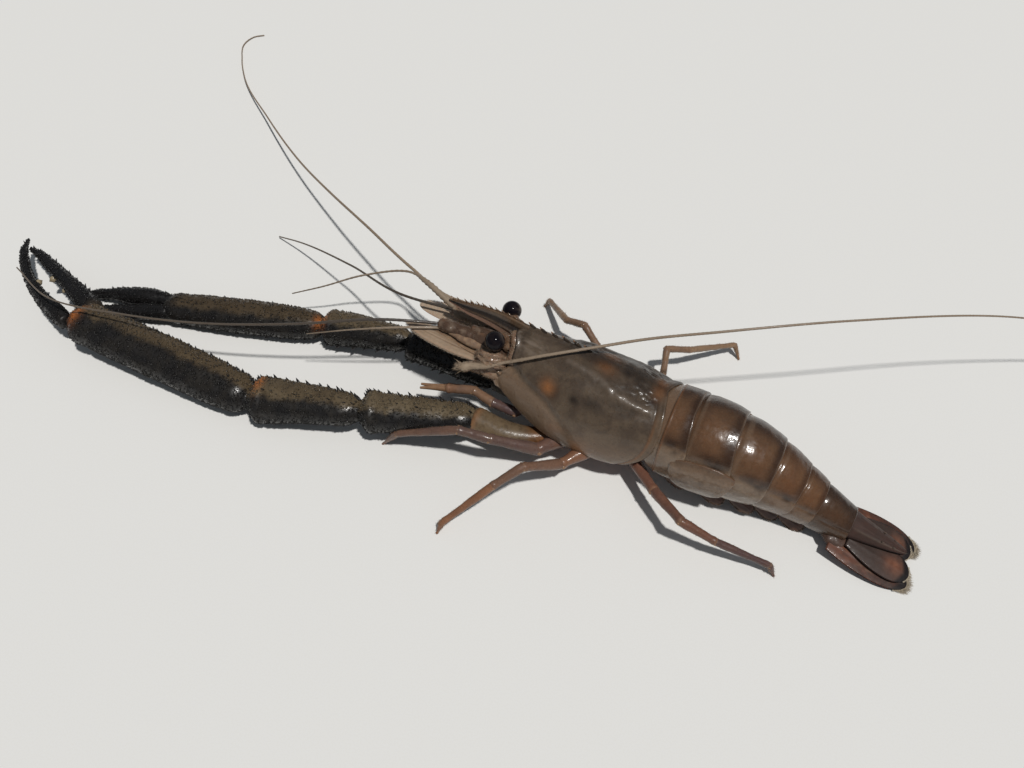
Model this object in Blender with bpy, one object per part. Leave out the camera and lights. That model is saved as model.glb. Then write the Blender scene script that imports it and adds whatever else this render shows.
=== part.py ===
"""African river prawn, Macrobrachium vollenhovenii, a large male, as a still life-size model.

The head points to -X, the tail to +X, the prawn's right side to +Y and up is +Z.
All sizes are in millimetres and are turned into metres when a mesh is made.
The body lies with its front half rolled a little onto its right side, so shapes
of the trunk are drawn on a straight body and then laid on the curved axis.
"""

import math
import random

import bpy
import numpy as np
from mathutils import Vector

# Named sizes of the whole animal, in millimetres
MM = 0.001
GAP = 0.3
ROSTRUM_TIP = -58.0
ORBIT = -30.5
CARAPACE_REAR = 17.5
SEGMENT_ENDS = [17.8, 28.8, 41.2, 52.6, 62.2, 69.6, 82.0]
TELSON_TIP = 101.0
CARAPACE_WALL = 1.5
EYE_RADIUS = 3.1
FEELER_RADIUS = 0.75
FEELER_TIP_RADIUS = 0.27

# Body axis: distance along the body, then x, y, z and roll in degrees
AXIS_ROWS = [
    (-62.0, -61.0, -4.3, 20.2, 15.0),
    (-32.0, -31.5, -4.8, 18.7, 16.0),
    (0.0, 0.0, -3.9, 17.3, 16.0),
    (17.5, 17.5, -2.2, 17.5, 12.0),
    (29.0, 29.0, -1.8, 17.6, 8.0),
    (42.0, 42.0, -1.4, 17.2, 4.0),
    (50.1, 50.0, -0.8, 15.5, 1.0),
    (59.0, 58.5, -0.6, 12.9, 0.0),
    (66.5, 65.5, -0.6, 10.4, 0.0),
    (77.4, 75.7, -0.8, 6.7, 0.0),
    (101.4, 99.0, -0.6, 2.6, 0.0),
]

# Carapace section: distance, half width, height over the axis, depth under it, angle of its edge
CARAPACE_ROWS = [
    (-36.0, 9.2, 15.6, 9.5, 92.0),
    (-30.0, 10.4, 16.6, 11.5, 101.0),
    (-23.0, 12.2, 16.9, 13.2, 116.0),
    (-12.0, 15.2, 17.7, 14.4, 127.0),
    (0.0, 16.1, 17.2, 15.0, 133.0),
    (9.0, 15.8, 16.2, 14.6, 130.0),
    (17.5, 14.3, 14.3, 13.2, 121.0),
]

# Thorax under the carapace: distance, half width, height, depth
THORAX_ROWS = [
    (-34.0, 6.0, 11.0, 4.0),
    (-30.0, 7.6, 13.4, 6.0),
    (-22.0, 10.0, 14.7, 9.0),
    (-12.0, 12.4, 14.9, 12.2),
    (0.0, 13.4, 14.4, 13.8),
    (9.0, 13.1, 13.5, 13.6),
    (17.2, 12.0, 12.1, 11.5),
]

# Abdomen section: distance, half width, height, angle of the lower edge, depth under the axis, belly
ABDOMEN_ROWS = [
    (17.8, 13.7, 13.9, 119.0, 13.0, -6.0),
    (28.6, 14.2, 14.6, 123.0, 13.6, -6.4),
    (40.6, 13.2, 14.1, 130.0, 13.2, -6.2),
    (50.6, 11.4, 12.2, 131.0, 12.2, -5.6),
    (59.3, 9.5, 10.2, 130.0, 10.2, -4.8),
    (66.5, 8.1, 8.7, 127.0, 8.4, -4.0),
    (82.0, 5.5, 5.9, 117.0, 5.5, -2.7),
]


def track(rows):
    """A smooth function through rows whose first value is the distance."""
    table = np.array(rows, float)
    place = table[:, 0]
    value = table[:, 1:]
    slope = np.gradient(value, place, axis=0)

    def at(distance):
        distance = min(max(distance, place[0]), place[-1])
        i = min(int(np.searchsorted(place, distance, side="right")) - 1, len(place) - 2)
        i = max(i, 0)
        width = place[i + 1] - place[i]
        t = (distance - place[i]) / width
        a = (1 + 2 * t) * (1 - t) ** 2
        b = t * (1 - t) ** 2 * width
        c = t * t * (3 - 2 * t)
        d = t * t * (t - 1) * width
        return a * value[i] + b * slope[i] + c * value[i + 1] + d * slope[i + 1]

    return at


axis_at = track(AXIS_ROWS)
carapace_at = track(CARAPACE_ROWS)
thorax_at = track(THORAX_ROWS)
abdomen_at = track(ABDOMEN_ROWS)


def unit(vector):
    vector = np.array(vector, float)
    return vector / np.linalg.norm(vector)


def body(along, side, up):
    """A place on the lying animal, from a place on the straight body."""
    first = AXIS_ROWS[0][0]
    last = AXIS_ROWS[-1][0]
    inside = min(max(along, first), last)
    x, y, z, roll = axis_at(inside)
    tangent = unit(axis_at(min(inside + 0.5, last))[:3] - axis_at(max(inside - 0.5, first))[:3])
    right = unit(np.cross((0, 0, 1), tangent))
    top = np.cross(tangent, right)
    turn = math.radians(roll)
    across = right * math.cos(turn) - top * math.sin(turn)
    above = top * math.cos(turn) + right * math.sin(turn)
    return np.array((x, y, z)) + tangent * (along - inside) + across * side + above * up


def heading(turn, pitch):
    """A direction: turn is measured from +X towards +Y, pitch is upwards."""
    a = math.radians(turn)
    b = math.radians(pitch)
    return np.array((math.cos(a) * math.cos(b), math.sin(a) * math.cos(b), math.sin(b)))


# Mesh helpers


def loft(rings, closed_ends=True):
    """Points and faces of a skin over rings of equal count, with a point at each end."""
    rings = [np.array(ring, float) for ring in rings]
    count = len(rings[0])
    points = [p for ring in rings for p in ring]
    faces = []
    for i in range(len(rings) - 1):
        for j in range(count):
            k = (j + 1) % count
            a = i * count
            b = (i + 1) * count
            faces.append((a + j, a + k, b + k, b + j))
    if closed_ends:
        faces.append(tuple(reversed(range(count))))
        last = (len(rings) - 1) * count
        faces.append(tuple(range(last, last + count)))
    return points, faces


def capped(rings, start, end):
    """A loft that is closed by one point at each end."""
    points, faces = loft(rings, False)
    count = len(rings[0])
    points = points + [np.array(start, float), np.array(end, float)]
    first = len(points) - 2
    last = first + 1
    base = (len(rings) - 1) * count
    for j in range(count):
        k = (j + 1) % count
        faces.append((first, k, j))
        faces.append((last, base + j, base + k))
    return points, faces


def frames(path, up):
    """Tangent, side and top directions along a path."""
    path = np.array(path, float)
    tangents = np.gradient(path, axis=0)
    result = []
    side = None
    for tangent in tangents:
        tangent = unit(tangent)
        if side is None:
            guide = np.array(up, float)
            if abs(np.dot(guide, tangent)) > 0.93:
                guide = np.array((1.0, 0.0, 0.0))
            side = unit(np.cross(guide, tangent))
        else:
            side = unit(side - tangent * np.dot(side, tangent))
        result.append((tangent, side, np.cross(tangent, side)))
    return result


def tube(path, wide, high, sides=8, up=(0, 0, 1), dome=0.5):
    """A rod along a path; wide and high are its half sizes at each point."""
    rings = []
    turned = frames(path, up)
    for point, (tangent, side, top), w, h in zip(path, turned, wide, high):
        ring = []
        for j in range(sides):
            angle = 2 * math.pi * (j + 0.5) / sides
            ring.append(np.array(point) + side * w * math.cos(angle) + top * h * math.sin(angle))
        rings.append(ring)
    start = np.array(path[0]) - turned[0][0] * dome * min(wide[0], high[0])
    end = np.array(path[-1]) + turned[-1][0] * dome * min(wide[-1], high[-1])
    return capped(rings, start, end)


def cone(root, direction, length, radius, sides=4, sink=0.5, lean=(0, 0, 0)):
    """A spine: its root is sunk under the surface that it grows from."""
    direction = unit(direction)
    guide = (0.0, 0.0, 1.0) if abs(direction[2]) < 0.9 else (1.0, 0.0, 0.0)
    side = unit(np.cross(guide, direction))
    top = np.cross(direction, side)
    base = np.array(root) - direction * sink
    points = []
    for j in range(sides):
        angle = 2 * math.pi * j / sides
        points.append(base + (side * math.cos(angle) + top * math.sin(angle)) * radius)
    points.append(np.array(root) + direction * length + np.array(lean, float))
    faces = [(j, (j + 1) % sides, sides) for j in range(sides)]
    faces.append(tuple(reversed(range(sides))))
    return points, faces


def ball(centre, radius, rows=7, sides=12, squash=(1, 1, 1)):
    rings = []
    for i in range(1, rows):
        tilt = math.pi * i / rows
        ring = []
        for j in range(sides):
            turn = 2 * math.pi * j / sides
            place = np.array(
                (-math.cos(tilt), math.sin(tilt) * math.cos(turn), math.sin(tilt) * math.sin(turn))
            )
            ring.append(np.array(centre) + place * radius * np.array(squash))
        rings.append(ring)
    start = np.array(centre) - np.array((radius * squash[0], 0, 0))
    end = np.array(centre) + np.array((radius * squash[0], 0, 0))
    return capped(rings, start, end)


def make_mesh(name, shape):
    points, faces = shape
    mesh = bpy.data.meshes.new(name)
    mesh.from_pydata([tuple(np.array(p) * MM) for p in points], [], faces)
    mesh.update()
    return mesh


def outward(mesh):
    """Turns the faces of a closed mesh so that they point out."""
    volume = 0.0
    mesh.calc_loop_triangles()
    for triangle in mesh.loop_triangles:
        a, b, c = (mesh.vertices[i].co for i in triangle.vertices)
        volume += a.dot(b.cross(c))
    if volume < 0:
        mesh.flip_normals()
    return mesh


def make_object(name, shape):
    obj = bpy.data.objects.new(name, outward(make_mesh(name, shape)))
    bpy.context.scene.collection.objects.link(obj)
    return obj


def largest_surface(mesh):
    """Keeps the biggest closed surface and drops crumbs that a Boolean left."""
    parent = list(range(len(mesh.polygons)))

    def root(i):
        while parent[i] != i:
            parent[i] = parent[parent[i]]
            i = parent[i]
        return i

    owner = {}
    for polygon in mesh.polygons:
        for key in polygon.edge_keys:
            first = root(owner.setdefault(key, polygon.index))
            parent[root(polygon.index)] = first
    volume = {}
    mesh.calc_loop_triangles()
    for triangle in mesh.loop_triangles:
        a, b, c = (mesh.vertices[i].co for i in triangle.vertices)
        key = root(triangle.polygon_index)
        volume[key] = volume.get(key, 0.0) + a.dot(b.cross(c))
    if len(volume) < 2:
        return mesh
    keep = max(volume, key=lambda key: volume[key])
    polygons = [polygon for polygon in mesh.polygons if root(polygon.index) == keep]
    wanted = sorted({i for polygon in polygons for i in polygon.vertices})
    renumber = {old: new for new, old in enumerate(wanted)}
    points = [tuple(mesh.vertices[i].co) for i in wanted]
    faces = [[renumber[i] for i in polygon.vertices] for polygon in polygons]
    kept = bpy.data.meshes.new(mesh.name)
    kept.from_pydata(points, [], faces)
    kept.update()
    return kept


def dress(mesh, looks):
    """Gives a whole mesh its materials and smooth shading."""
    mesh.materials.clear()
    for look in looks:
        mesh.materials.append(look)
    count = len(mesh.polygons)
    mesh.polygons.foreach_set("material_index", [0] * count)
    mesh.polygons.foreach_set("use_smooth", [True] * count)
    mesh.update()


def boolean(obj, others, operation):
    """Joins or cuts in one Boolean, applies it and removes the other objects."""
    if not others:
        return obj
    group = bpy.data.collections.new("pieces")
    bpy.context.scene.collection.children.link(group)
    for other in others:
        bpy.context.scene.collection.objects.unlink(other)
        group.objects.link(other)
    change = obj.modifiers.new("pieces", "BOOLEAN")
    change.operation = operation
    change.solver = "MANIFOLD"
    change.operand_type = "COLLECTION"
    change.collection = group
    bpy.context.view_layer.update()
    graph = bpy.context.evaluated_depsgraph_get()
    result = bpy.data.meshes.new_from_object(obj.evaluated_get(graph))
    looks = list(obj.data.materials)
    obj.modifiers.clear()
    obj.data = largest_surface(result)
    dress(obj.data, looks)
    for other in others:
        bpy.data.objects.remove(other)
    bpy.data.collections.remove(group)
    return obj


def joined(name, shapes):
    """One object from a main shape and the pieces that grow from it."""
    obj = make_object(name, shapes[0])
    pieces = [make_object(f"{name}_piece", shape) for shape in shapes[1:]]
    return boolean(obj, pieces, "UNION")


def swollen_copy(obj, amount):
    """A copy whose surface lies a little further out, used to cut neighbours clear."""
    mesh = obj.data.copy()
    normals = [tuple(vertex.normal) for vertex in mesh.vertices]
    for vertex, normal in zip(mesh.vertices, normals):
        vertex.co += Vector(normal) * amount * MM
    copy = bpy.data.objects.new(f"{obj.name}_clear", mesh)
    bpy.context.scene.collection.objects.link(copy)
    return copy


def cut_clear(obj, neighbours, amount=GAP):
    """Cuts an object back from its neighbours and leaves a small gap."""
    return boolean(obj, [swollen_copy(other, amount) for other in neighbours], "DIFFERENCE")


def floor_block():
    low, high = -30.0, 0.0
    points = []
    for z in (low, high):
        for x, y in ((-400, -300), (400, -300), (400, 300), (-400, 300)):
            points.append((x, y, z))
    faces = [(0, 3, 2, 1), (4, 5, 6, 7), (0, 1, 5, 4), (1, 2, 6, 5), (2, 3, 7, 6), (3, 0, 4, 7)]
    return points, faces


def flat_on_floor(obj):
    """Gives what touches the floor a small flat at floor level."""
    if min(vertex.co.z for vertex in obj.data.vertices) >= 0:
        return obj
    return boolean(obj, [make_object("floor_block", floor_block())], "DIFFERENCE")


def paint(obj, colour, roughness):
    material = bpy.data.materials.new(f"{obj.name}_look")
    material.use_nodes = True
    shader = material.node_tree.nodes["Principled BSDF"]
    shader.inputs["Base Color"].default_value = (*colour, 1.0)
    shader.inputs["Roughness"].default_value = roughness
    shader.inputs["Metallic"].default_value = 0.0
    dress(obj.data, [material])
    return obj


# Colours of the body, in linear light
SHELL = (0.105, 0.078, 0.055)
TAIL_SHELL = (0.13, 0.07, 0.04)
DARK_CLAW = (0.035, 0.033, 0.032)
CLAW_BROWN = (0.10, 0.075, 0.045)
LEG_ORANGE = (0.28, 0.10, 0.05)
PALE_TAN = (0.42, 0.31, 0.21)
EYE_BLACK = (0.01, 0.01, 0.012)
FEELER_BROWN = (0.25, 0.15, 0.09)
BELLY = (0.22, 0.17, 0.13)


# Carapace


def carapace_section(along, angle, outset):
    """A place on the carapace: angle is measured from the top, in degrees, right side positive."""
    half, high, deep, edge = carapace_at(along)
    half += outset
    high += outset
    deep += outset
    turn = math.radians(abs(angle))
    sine = math.sin(turn)
    cosine = math.cos(turn)
    if cosine >= 0:
        keel = 0.16 * max(0.0, min(1.0, (6.0 - along) / 30.0))
        side = half * sine * (1 - keel * cosine * cosine)
        up = high * cosine
    else:
        side = half * sine ** 0.62
        up = deep * cosine
    return body(along, math.copysign(side, angle), up)


# Front edge of the carapace: how far down the side, then the distance along the body
FRONT_MARGIN = track(
    [
        (0.0, -30.5),
        (0.12, -32.0),
        (0.36, -30.4),
        (0.55, -30.0),
        (0.7, -31.0),
        (0.82, -34.0),
        (0.9, -34.2),
        (1.0, -32.8),
    ]
)


def carapace_shape(outset, wall):
    """The carapace as a wall of even thickness, open below and in front."""
    columns = 10
    rows = 8
    rings = []
    for i in range(rows + 1):
        t = (i / rows) ** 1.05
        outer = []
        inner = []
        for j in range(-columns, columns + 1):
            across = abs(j) / columns
            front = float(FRONT_MARGIN(across)[0])
            rear = CARAPACE_REAR - 1.6 * across * across
            along = front * (1 - t) + rear * t
            edge = carapace_at(along)[3]
            angle = across * edge * (1 if j >= 0 else -1)
            outer.append(carapace_section(along, angle, outset))
            inner.append(carapace_section(along, angle, outset - wall))
        rings.append(outer + inner[::-1])
    points = [p for ring in rings for p in ring]
    count = len(rings[0])
    half = count // 2
    faces = []
    for i in range(rows):
        for j in range(count):
            k = (j + 1) % count
            a = i * count
            b = a + count
            faces.append((a + j, a + k, b + k, b + j))
    for base, flip in ((0, True), (rows * count, False)):
        for j in range(half - 1):
            quad = (base + j, base + j + 1, base + count - 2 - j, base + count - 1 - j)
            faces.append(quad[::-1] if flip else quad)
    return points, faces


def crest_tooth(along, up, length, radius):
    root = body(along, 0, up)
    aim = unit(body(along - 2.0, 0, up + 1.3) - root)
    return cone(root, aim, length, radius, 4, 0.7)


def make_carapace():
    shapes = [carapace_shape(0.0, CARAPACE_WALL)]
    rings = []
    for i in range(8):
        t = i / 7
        along = ORBIT + t * 26.0
        top = carapace_at(along)[1]
        rise = 1.45 * (1 - t) + 0.15
        ring = []
        for side, up in ((-0.9, -0.8), (0.9, -0.8), (0.45, rise), (-0.45, rise)):
            ring.append(body(along, side, top + up))
        rings.append(ring)
    shapes.append(loft(rings))
    for i in range(6):
        along = -27.6 + 3.8 * i
        top = carapace_at(along)[1]
        shapes.append(crest_tooth(along, top + 1.1 - 0.16 * i, 2.4, 0.85))
    for sign in (-1, 1):
        place = carapace_section(-32.5, sign * 76, -0.2)
        ahead = carapace_section(-36.0, sign * 74, 0.6)
        shapes.append(cone(place, ahead - place, 2.6, 0.8, 5, 1.2))
    return paint(joined("carapace", shapes), SHELL, 0.25)


def thorax_shape(outset):
    rings = []
    sides = 14
    places = [-34.0, -30.0, -24.0, -16.0, -6.0, 4.0, 17.2]
    for along in places:
        half, high, deep = thorax_at(along)
        ring = []
        for j in range(sides):
            angle = 2 * math.pi * (j + 0.5) / sides
            sine = math.sin(angle)
            cosine = math.cos(angle)
            up = (high if cosine > 0 else deep) + outset
            ring.append(body(along, (half + outset) * sine, up * cosine))
        rings.append(ring)
    return loft(rings)


# Rostrum


def rostrum_line(along):
    """Upper edge, lower edge and half thickness of the rostrum blade."""
    t = (ORBIT - along) / (ORBIT - ROSTRUM_TIP)
    upper = 18.0 + 0.7 * math.sin(math.pi * min(t * 1.25, 1.0)) - 3.5 * t * t
    depth = 6.2 * (1 - t) ** 0.6 + 0.9
    depth = depth if t < 0.7 else depth * (1.0 - 0.55 * (t - 0.7) / 0.3)
    half = 1.9 * (1 - t) ** 0.8 + 0.45
    return upper, upper - depth, half


def make_rostrum():
    rings = []
    for i in range(11):
        along = ORBIT + (ROSTRUM_TIP - ORBIT + 0.6) * i / 10
        upper, lower, half = rostrum_line(along)
        middle = lower + 0.42 * (upper - lower)
        thin = max(0.3, half * 0.34)
        ring = []
        for side, up in (
            (-thin, lower),
            (thin, lower),
            (half, middle),
            (thin, middle + 0.35 * (upper - middle)),
            (thin, upper),
            (-thin, upper),
            (-thin, middle + 0.35 * (upper - middle)),
            (-half, middle),
        ):
            ring.append(body(along, side, up))
        rings.append(ring)
    tip = body(ROSTRUM_TIP - 0.8, 0, rostrum_line(ROSTRUM_TIP)[0] - 0.2)
    start = np.mean(rings[0], axis=0)
    shapes = [capped(rings, start, tip)]
    draw = random.Random(11)
    for i in range(9):
        along = -32.0 - 2.85 * i + draw.uniform(-0.25, 0.25)
        upper = rostrum_line(along)[0]
        shapes.append(crest_tooth(along, upper - 0.1, 2.3 - 0.07 * i, 0.8 - 0.02 * i))
    for i in range(4):
        along = -42.0 - 3.6 * i
        lower = rostrum_line(along)[1]
        root = body(along, 0, lower + 0.2)
        aim = body(along - 2.0, 0, lower - 1.1) - root
        shapes.append(cone(root, aim, 1.9, 0.7, 4, 0.6))
    return paint(joined("rostrum", shapes), (0.16, 0.11, 0.08), 0.3)


# Abdomen


def abdomen_ring(along, grow, scallop=0.0):
    half, high, edge, deep, belly = abdomen_at(along)
    half += grow
    high += grow
    edge -= scallop
    columns = 9
    outer = []
    for j in range(-columns, columns + 1):
        turn = math.radians(edge * abs(j) / columns)
        sine = math.sin(turn)
        cosine = math.cos(turn)
        if cosine >= 0:
            side, up = half * sine, high * cosine
        else:
            side, up = half * sine ** 0.7, deep * cosine
        outer.append((math.copysign(side, j) if j else 0.0, up))
    edge_side, edge_up = outer[-1]
    inner = [
        (edge_side - 1.5, edge_up + 0.5),
        (edge_side - 2.4, belly - 0.6),
        (edge_side * 0.35, belly),
    ]
    loop = outer + inner + [(-side, up) for side, up in inner[::-1]]
    return [body(along, side, up) for side, up in loop]


def pleuron_lobe(sign):
    """The big rounded side plate of the second segment, which covers its neighbours' edges."""
    first, last = 26.4, 43.8
    steps = 9
    rows = 3
    rings = []
    for i in range(steps + 1):
        t = i / steps
        along = first + (last - first) * t
        bulge = max(1 - abs(2 * t - 1) ** 2.6, 0.0) ** 0.45
        half, high, edge, deep, belly = abdomen_at(along)
        top_angle = 76.0 - 8.0 * t
        low_angle = top_angle + (edge + 2.0 - top_angle) * (0.12 + 0.88 * bulge)
        outer = []
        inner = []
        for j in range(rows + 1):
            turn = math.radians(top_angle + (low_angle - top_angle) * j / rows)
            sine = math.sin(turn) ** 0.7
            cosine = math.cos(turn)
            own = SEGMENT_ENDS[1] + 0.8 < along < SEGMENT_ENDS[2] - 0.8
            inset = -0.6 if own else 0.6
            rise = high if cosine > 0 else deep
            outer.append(body(along, sign * (half + 1.25) * sine, (rise + 1.1) * cosine))
            inner.append(body(along, sign * (half + inset) * sine, (rise + inset - 0.2) * cosine))
        rings.append(outer + inner[::-1])
    return loft(rings)


def make_segment(index):
    start = SEGMENT_ENDS[index - 1]
    end = SEGMENT_ENDS[index] - GAP
    rings = []
    for t, grow in ((0.0, -0.45), (0.12, -0.15), (0.5, 0.1), (0.85, 0.15), (1.0, 0.1)):
        scallop = 7.0 * abs(2 * t - 1) ** 3
        rings.append(abdomen_ring(start + (end - start) * t, grow, scallop))
    shapes = [loft(rings)]
    if index == 2:
        shapes += [pleuron_lobe(-1), pleuron_lobe(1)]
    obj = joined(f"abdomen_{index}", shapes)
    return paint(obj, TAIL_SHELL, 0.22)


def make_telson():
    rings = []
    for t in (0.0, 0.15, 0.4, 0.65, 0.85, 0.97):
        along = SEGMENT_ENDS[6] + 0.1 + (TELSON_TIP - SEGMENT_ENDS[6]) * t
        half = 4.3 * (1 - t) ** 0.8 + 0.9
        high = 4.3 * (1 - t) ** 1.1 + 1.3
        low = 0.9 + 0.2 * (1 - t)
        ring = []
        for side, up in (
            (-half, low),
            (half, low),
            (half, low + 0.5),
            (half * 0.62, high * 0.86),
            (half * 0.2, high),
            (-half * 0.2, high),
            (-half * 0.62, high * 0.86),
            (-half, low + 0.5),
        ):
            ring.append(body(along, side, up))
        rings.append(ring)
    tip = body(TELSON_TIP, 0, 1.3)
    start = np.mean(rings[0], axis=0)
    shapes = [capped(rings, start, tip)]
    for t in (0.55, 0.75):
        along = SEGMENT_ENDS[6] + (TELSON_TIP - SEGMENT_ENDS[6]) * t
        for sign in (-1, 1):
            side = sign * (2.4 * (1 - t) + 0.6)
            up = (4.3 * (1 - t) ** 1.1 + 1.3) * 0.9
            root = body(along, side, up)
            aim = body(along + 2, side, up + 0.35) - root
            shapes.append(cone(root, aim, 1.0, 0.4, 4, 0.4))
    return paint(joined("telson", shapes), (0.06, 0.05, 0.05), 0.25)


def blade(start, aim, length, half, thick, up=(0, 0, 1), outer=0.0, peak=0.45, first=0.38, plain=False):
    """A thin leaf shape with a low midrib; outer shifts its widest line to one side."""
    aim = unit(aim)
    side = unit(np.cross(up, aim))
    top = np.cross(aim, side)
    rings = []
    steps = (0.0, 0.3, 0.72, 0.95) if plain else (0.0, 0.08, 0.2, 0.38, 0.58, 0.78, 0.91, 0.97)
    for t in steps:
        swell = (min(t / peak, 1.0) * math.pi / 2 if t < peak else math.pi / 2)
        width = half * (first + (1 - first) * math.sin(swell))
        if t > peak:
            width = half * max(1 - ((t - peak) / (1 - peak)) ** 2.6, 0.02) ** 0.5
        centre = np.array(start) + aim * length * t + side * outer * math.sin(math.pi * t)
        rib = thick * (1.0 - 0.45 * t)
        rim = max(0.27, thick * 0.45)
        section = [(-1.0, -rim), (0.0, -rib), (1.0, -rim), (1.0, rim), (0.0, rib), (-1.0, rim)]
        if not plain:
            section = [
                (-1.0, -rim),
                (-0.4, -rib * 0.8),
                (0.4, -rib * 0.8),
                (1.0, -rim),
                (1.0, rim),
                (0.4, rib * 0.75),
                (0.0, rib * 1.3),
                (-0.4, rib * 0.75),
                (-1.0, rim),
            ]
        ring = []
        for across, up_by in section:
            ring.append(centre + side * width * across + top * up_by)
        rings.append(ring)
    end = np.array(start) + aim * length
    return capped(rings, np.mean(rings[0], axis=0), end)


# Tail fan: side, then the start and end of the outer and inner blade on the straight body
UROPODS = {
    "left": (-1, (79.2, -7.2, -1.8), (104.4, -8.2, -1.9), (83.6, -4.4, 0.1), (103.6, -6.0, -0.5)),
    "right": (1, (80.4, 4.4, -1.6), (104.0, 3.6, -1.9), (83.6, 1.9, 0.0), (102.6, 1.2, -0.7)),
}


def make_uropods():
    made = []
    for side_name, (sign, outer_root, outer_tip, inner_root, inner_tip) in UROPODS.items():
        root = body(*outer_root)
        reach = body(*outer_tip) - root
        length = float(np.linalg.norm(reach))
        shape = blade(root, reach, length, 4.5, 0.6, (0, 0, 1), sign * 0.5, 0.55, 0.72)
        base = body(77.4, sign * 3.6, -2.2)
        middle = body(79.8, sign * 4.9, -1.6)
        tip = body(83.4, sign * 6.0 if sign < 0 else 4.6, -1.5)
        socket = tube([base, middle, tip], [2.2, 3.2, 2.2], [1.5, 1.8, 1.1], 8)
        outer = paint(joined(f"uropod_{side_name}_outer", [shape, socket]), (0.10, 0.05, 0.04), 0.3)
        root = body(*inner_root)
        reach = body(*inner_tip) - root
        length = float(np.linalg.norm(reach))
        shape = blade(root, reach, length, 4.5, 0.55, (0, 0, 1), 0.0, 0.55)
        inner = paint(make_object(f"uropod_{side_name}_inner", shape), (0.12, 0.07, 0.05), 0.3)
        made.append((outer, inner))
    return made


# Swimming legs: segment, place along the body, length, sideways place, turn and pitch
PLEOPODS = [
    (1, 22.6, 12.0, 6.4, 6.0, -17.0),
    (2, 33.6, 12.5, 6.8, 5.0, -18.0),
    (3, 45.6, 11.2, 5.9, 4.0, -22.0),
    (4, 56.2, 9.4, 5.0, 3.0, -24.0),
    (5, 65.0, 9.0, 4.3, 3.0, -18.0),
]


def make_pleopods(segments):
    made = []
    for index, along, length, side, turn, pitch in PLEOPODS:
        for sign, side_name in ((-1, "left"), (1, "right")):
            belly = abdomen_at(along)[4]
            root = body(along, sign * side, belly + 0.6)
            knee = body(along - 0.4, sign * (side + 1.0), belly - 3.2)
            aim = heading(sign * turn, pitch)
            up = (0, sign * 0.9, 0.5)
            shapes = [
                tube([root, knee], [1.5, 1.3], [1.3, 1.1], 6),
                blade(knee - aim * 0.8, aim, length, 2.4, 0.5, up, 0, 0.68, plain=True),
            ]
            obj = joined(f"pleopod_{index}_{side_name}", shapes)
            cut_clear(obj, segments)
            flat_on_floor(obj)
            made.append(paint(obj, (0.10, 0.04, 0.03), 0.45))
    for ahead, behind in zip(made, made[2:]):
        cut_clear(ahead, [behind])
    return made


# Head: eyes, antennules, scales and feelers


def make_eyes():
    made = []
    for sign, side_name in ((-1, "left"), (1, "right")):
        centre = body(-36.0, -9.0, 14.4) if sign < 0 else body(-39.0, 8.4, 14.1)
        root = body(-33.0, sign * 3.4, 9.2)
        bend = body(-35.4, sign * 4.6, 12.0)
        aim = unit(centre - bend)
        eye = make_object(f"eye_{side_name}", ball(centre, EYE_RADIUS, 8, 12))
        near = centre - aim * (EYE_RADIUS - 0.7)
        path = [root, bend, bend + (near - bend) * 0.6, near]
        thick = [1.7, 2.0, 2.3, 2.6]
        stalk = make_object(f"eyestalk_{side_name}", tube(path, thick, thick, 9, dome=0.2))
        cut_clear(stalk, [eye])
        made.append((paint(eye, EYE_BLACK, 0.06), paint(stalk, PALE_TAN, 0.3)))
    return made


def curve_points(places, count):
    """Even steps along a smooth line through places."""
    rows = []
    distance = 0.0
    for i, place in enumerate(places):
        if i:
            distance += float(np.linalg.norm(np.array(place) - np.array(places[i - 1])))
        rows.append((distance, *place))
    at = track(rows)
    return [at(distance * i / (count - 1)) for i in range(count)]


def feeler(places, count, first, last, sides=6, squash=1.0):
    """A whip that thins towards its tip."""
    path = curve_points(places, count)
    radii = [first + (last - first) * (i / (count - 1)) ** 0.8 for i in range(count)]
    return tube(path, radii, [r * squash for r in radii], sides, (0, 0, 1), 0.8)


def long_feeler(name, places, count, first, last, colour, cut, lead=()):
    """A long whip, after the places of lead; a cut that isn't zero parts it in two at a small gap."""
    path = list(lead) + curve_points(places, count)
    count = len(path)
    radii = [first + (last - first) * (i / (count - 1)) ** 0.8 for i in range(count)]
    if not cut:
        shape = tube(path, radii, radii, 5, (0, 0, 1), 0.6)
        return [paint(make_object(name, shape), colour, 0.35)]
    made = []
    for part, low, high in (("base", 0, cut), ("tip", cut, count - 1)):
        piece = [np.array(p) for p in path[low : high + 1]]
        if low:
            piece[0] = piece[0] + unit(piece[1] - piece[0]) * GAP * 0.5
        else:
            piece[-1] = piece[-1] + unit(piece[-2] - piece[-1]) * GAP * 0.5
        thick = radii[low : high + 1]
        shape = tube(piece, thick, thick, 5, (0, 0, 1), 0.0)
        made.append(paint(make_object(f"{name}_{part}", shape), colour, 0.35))
    return made


def make_antennules():
    made = []
    for sign, side_name in ((-1, "left"), (1, "right")):
        path = [body(-34.6, sign * 3.2, 6.6), body(-39.5, sign * 3.7, 8.6), body(-44.0, sign * 3.9, 8.4)]
        shapes = [tube(path, [2.2, 2.7, 2.2], [1.8, 2.0, 1.6], 8)]
        path = [body(-43.2, sign * 3.9, 8.4), body(-48.0, sign * 4.0, 8.1), body(-51.0, sign * 4.1, 7.9)]
        shapes.append(tube(path, [1.9, 2.1, 1.7], [1.5, 1.6, 1.3], 8))
        path = [body(-50.4, sign * 4.1, 7.9), body(-54.0, sign * 4.1, 7.7), body(-57.2, sign * 4.2, 7.4)]
        shapes.append(tube(path, [1.6, 1.8, 1.4], [1.3, 1.4, 1.1], 8))
        obj = joined(f"antennule_{side_name}", shapes)
        made.append(paint(obj, (0.16, 0.08, 0.05), 0.3))
    return made


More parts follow.
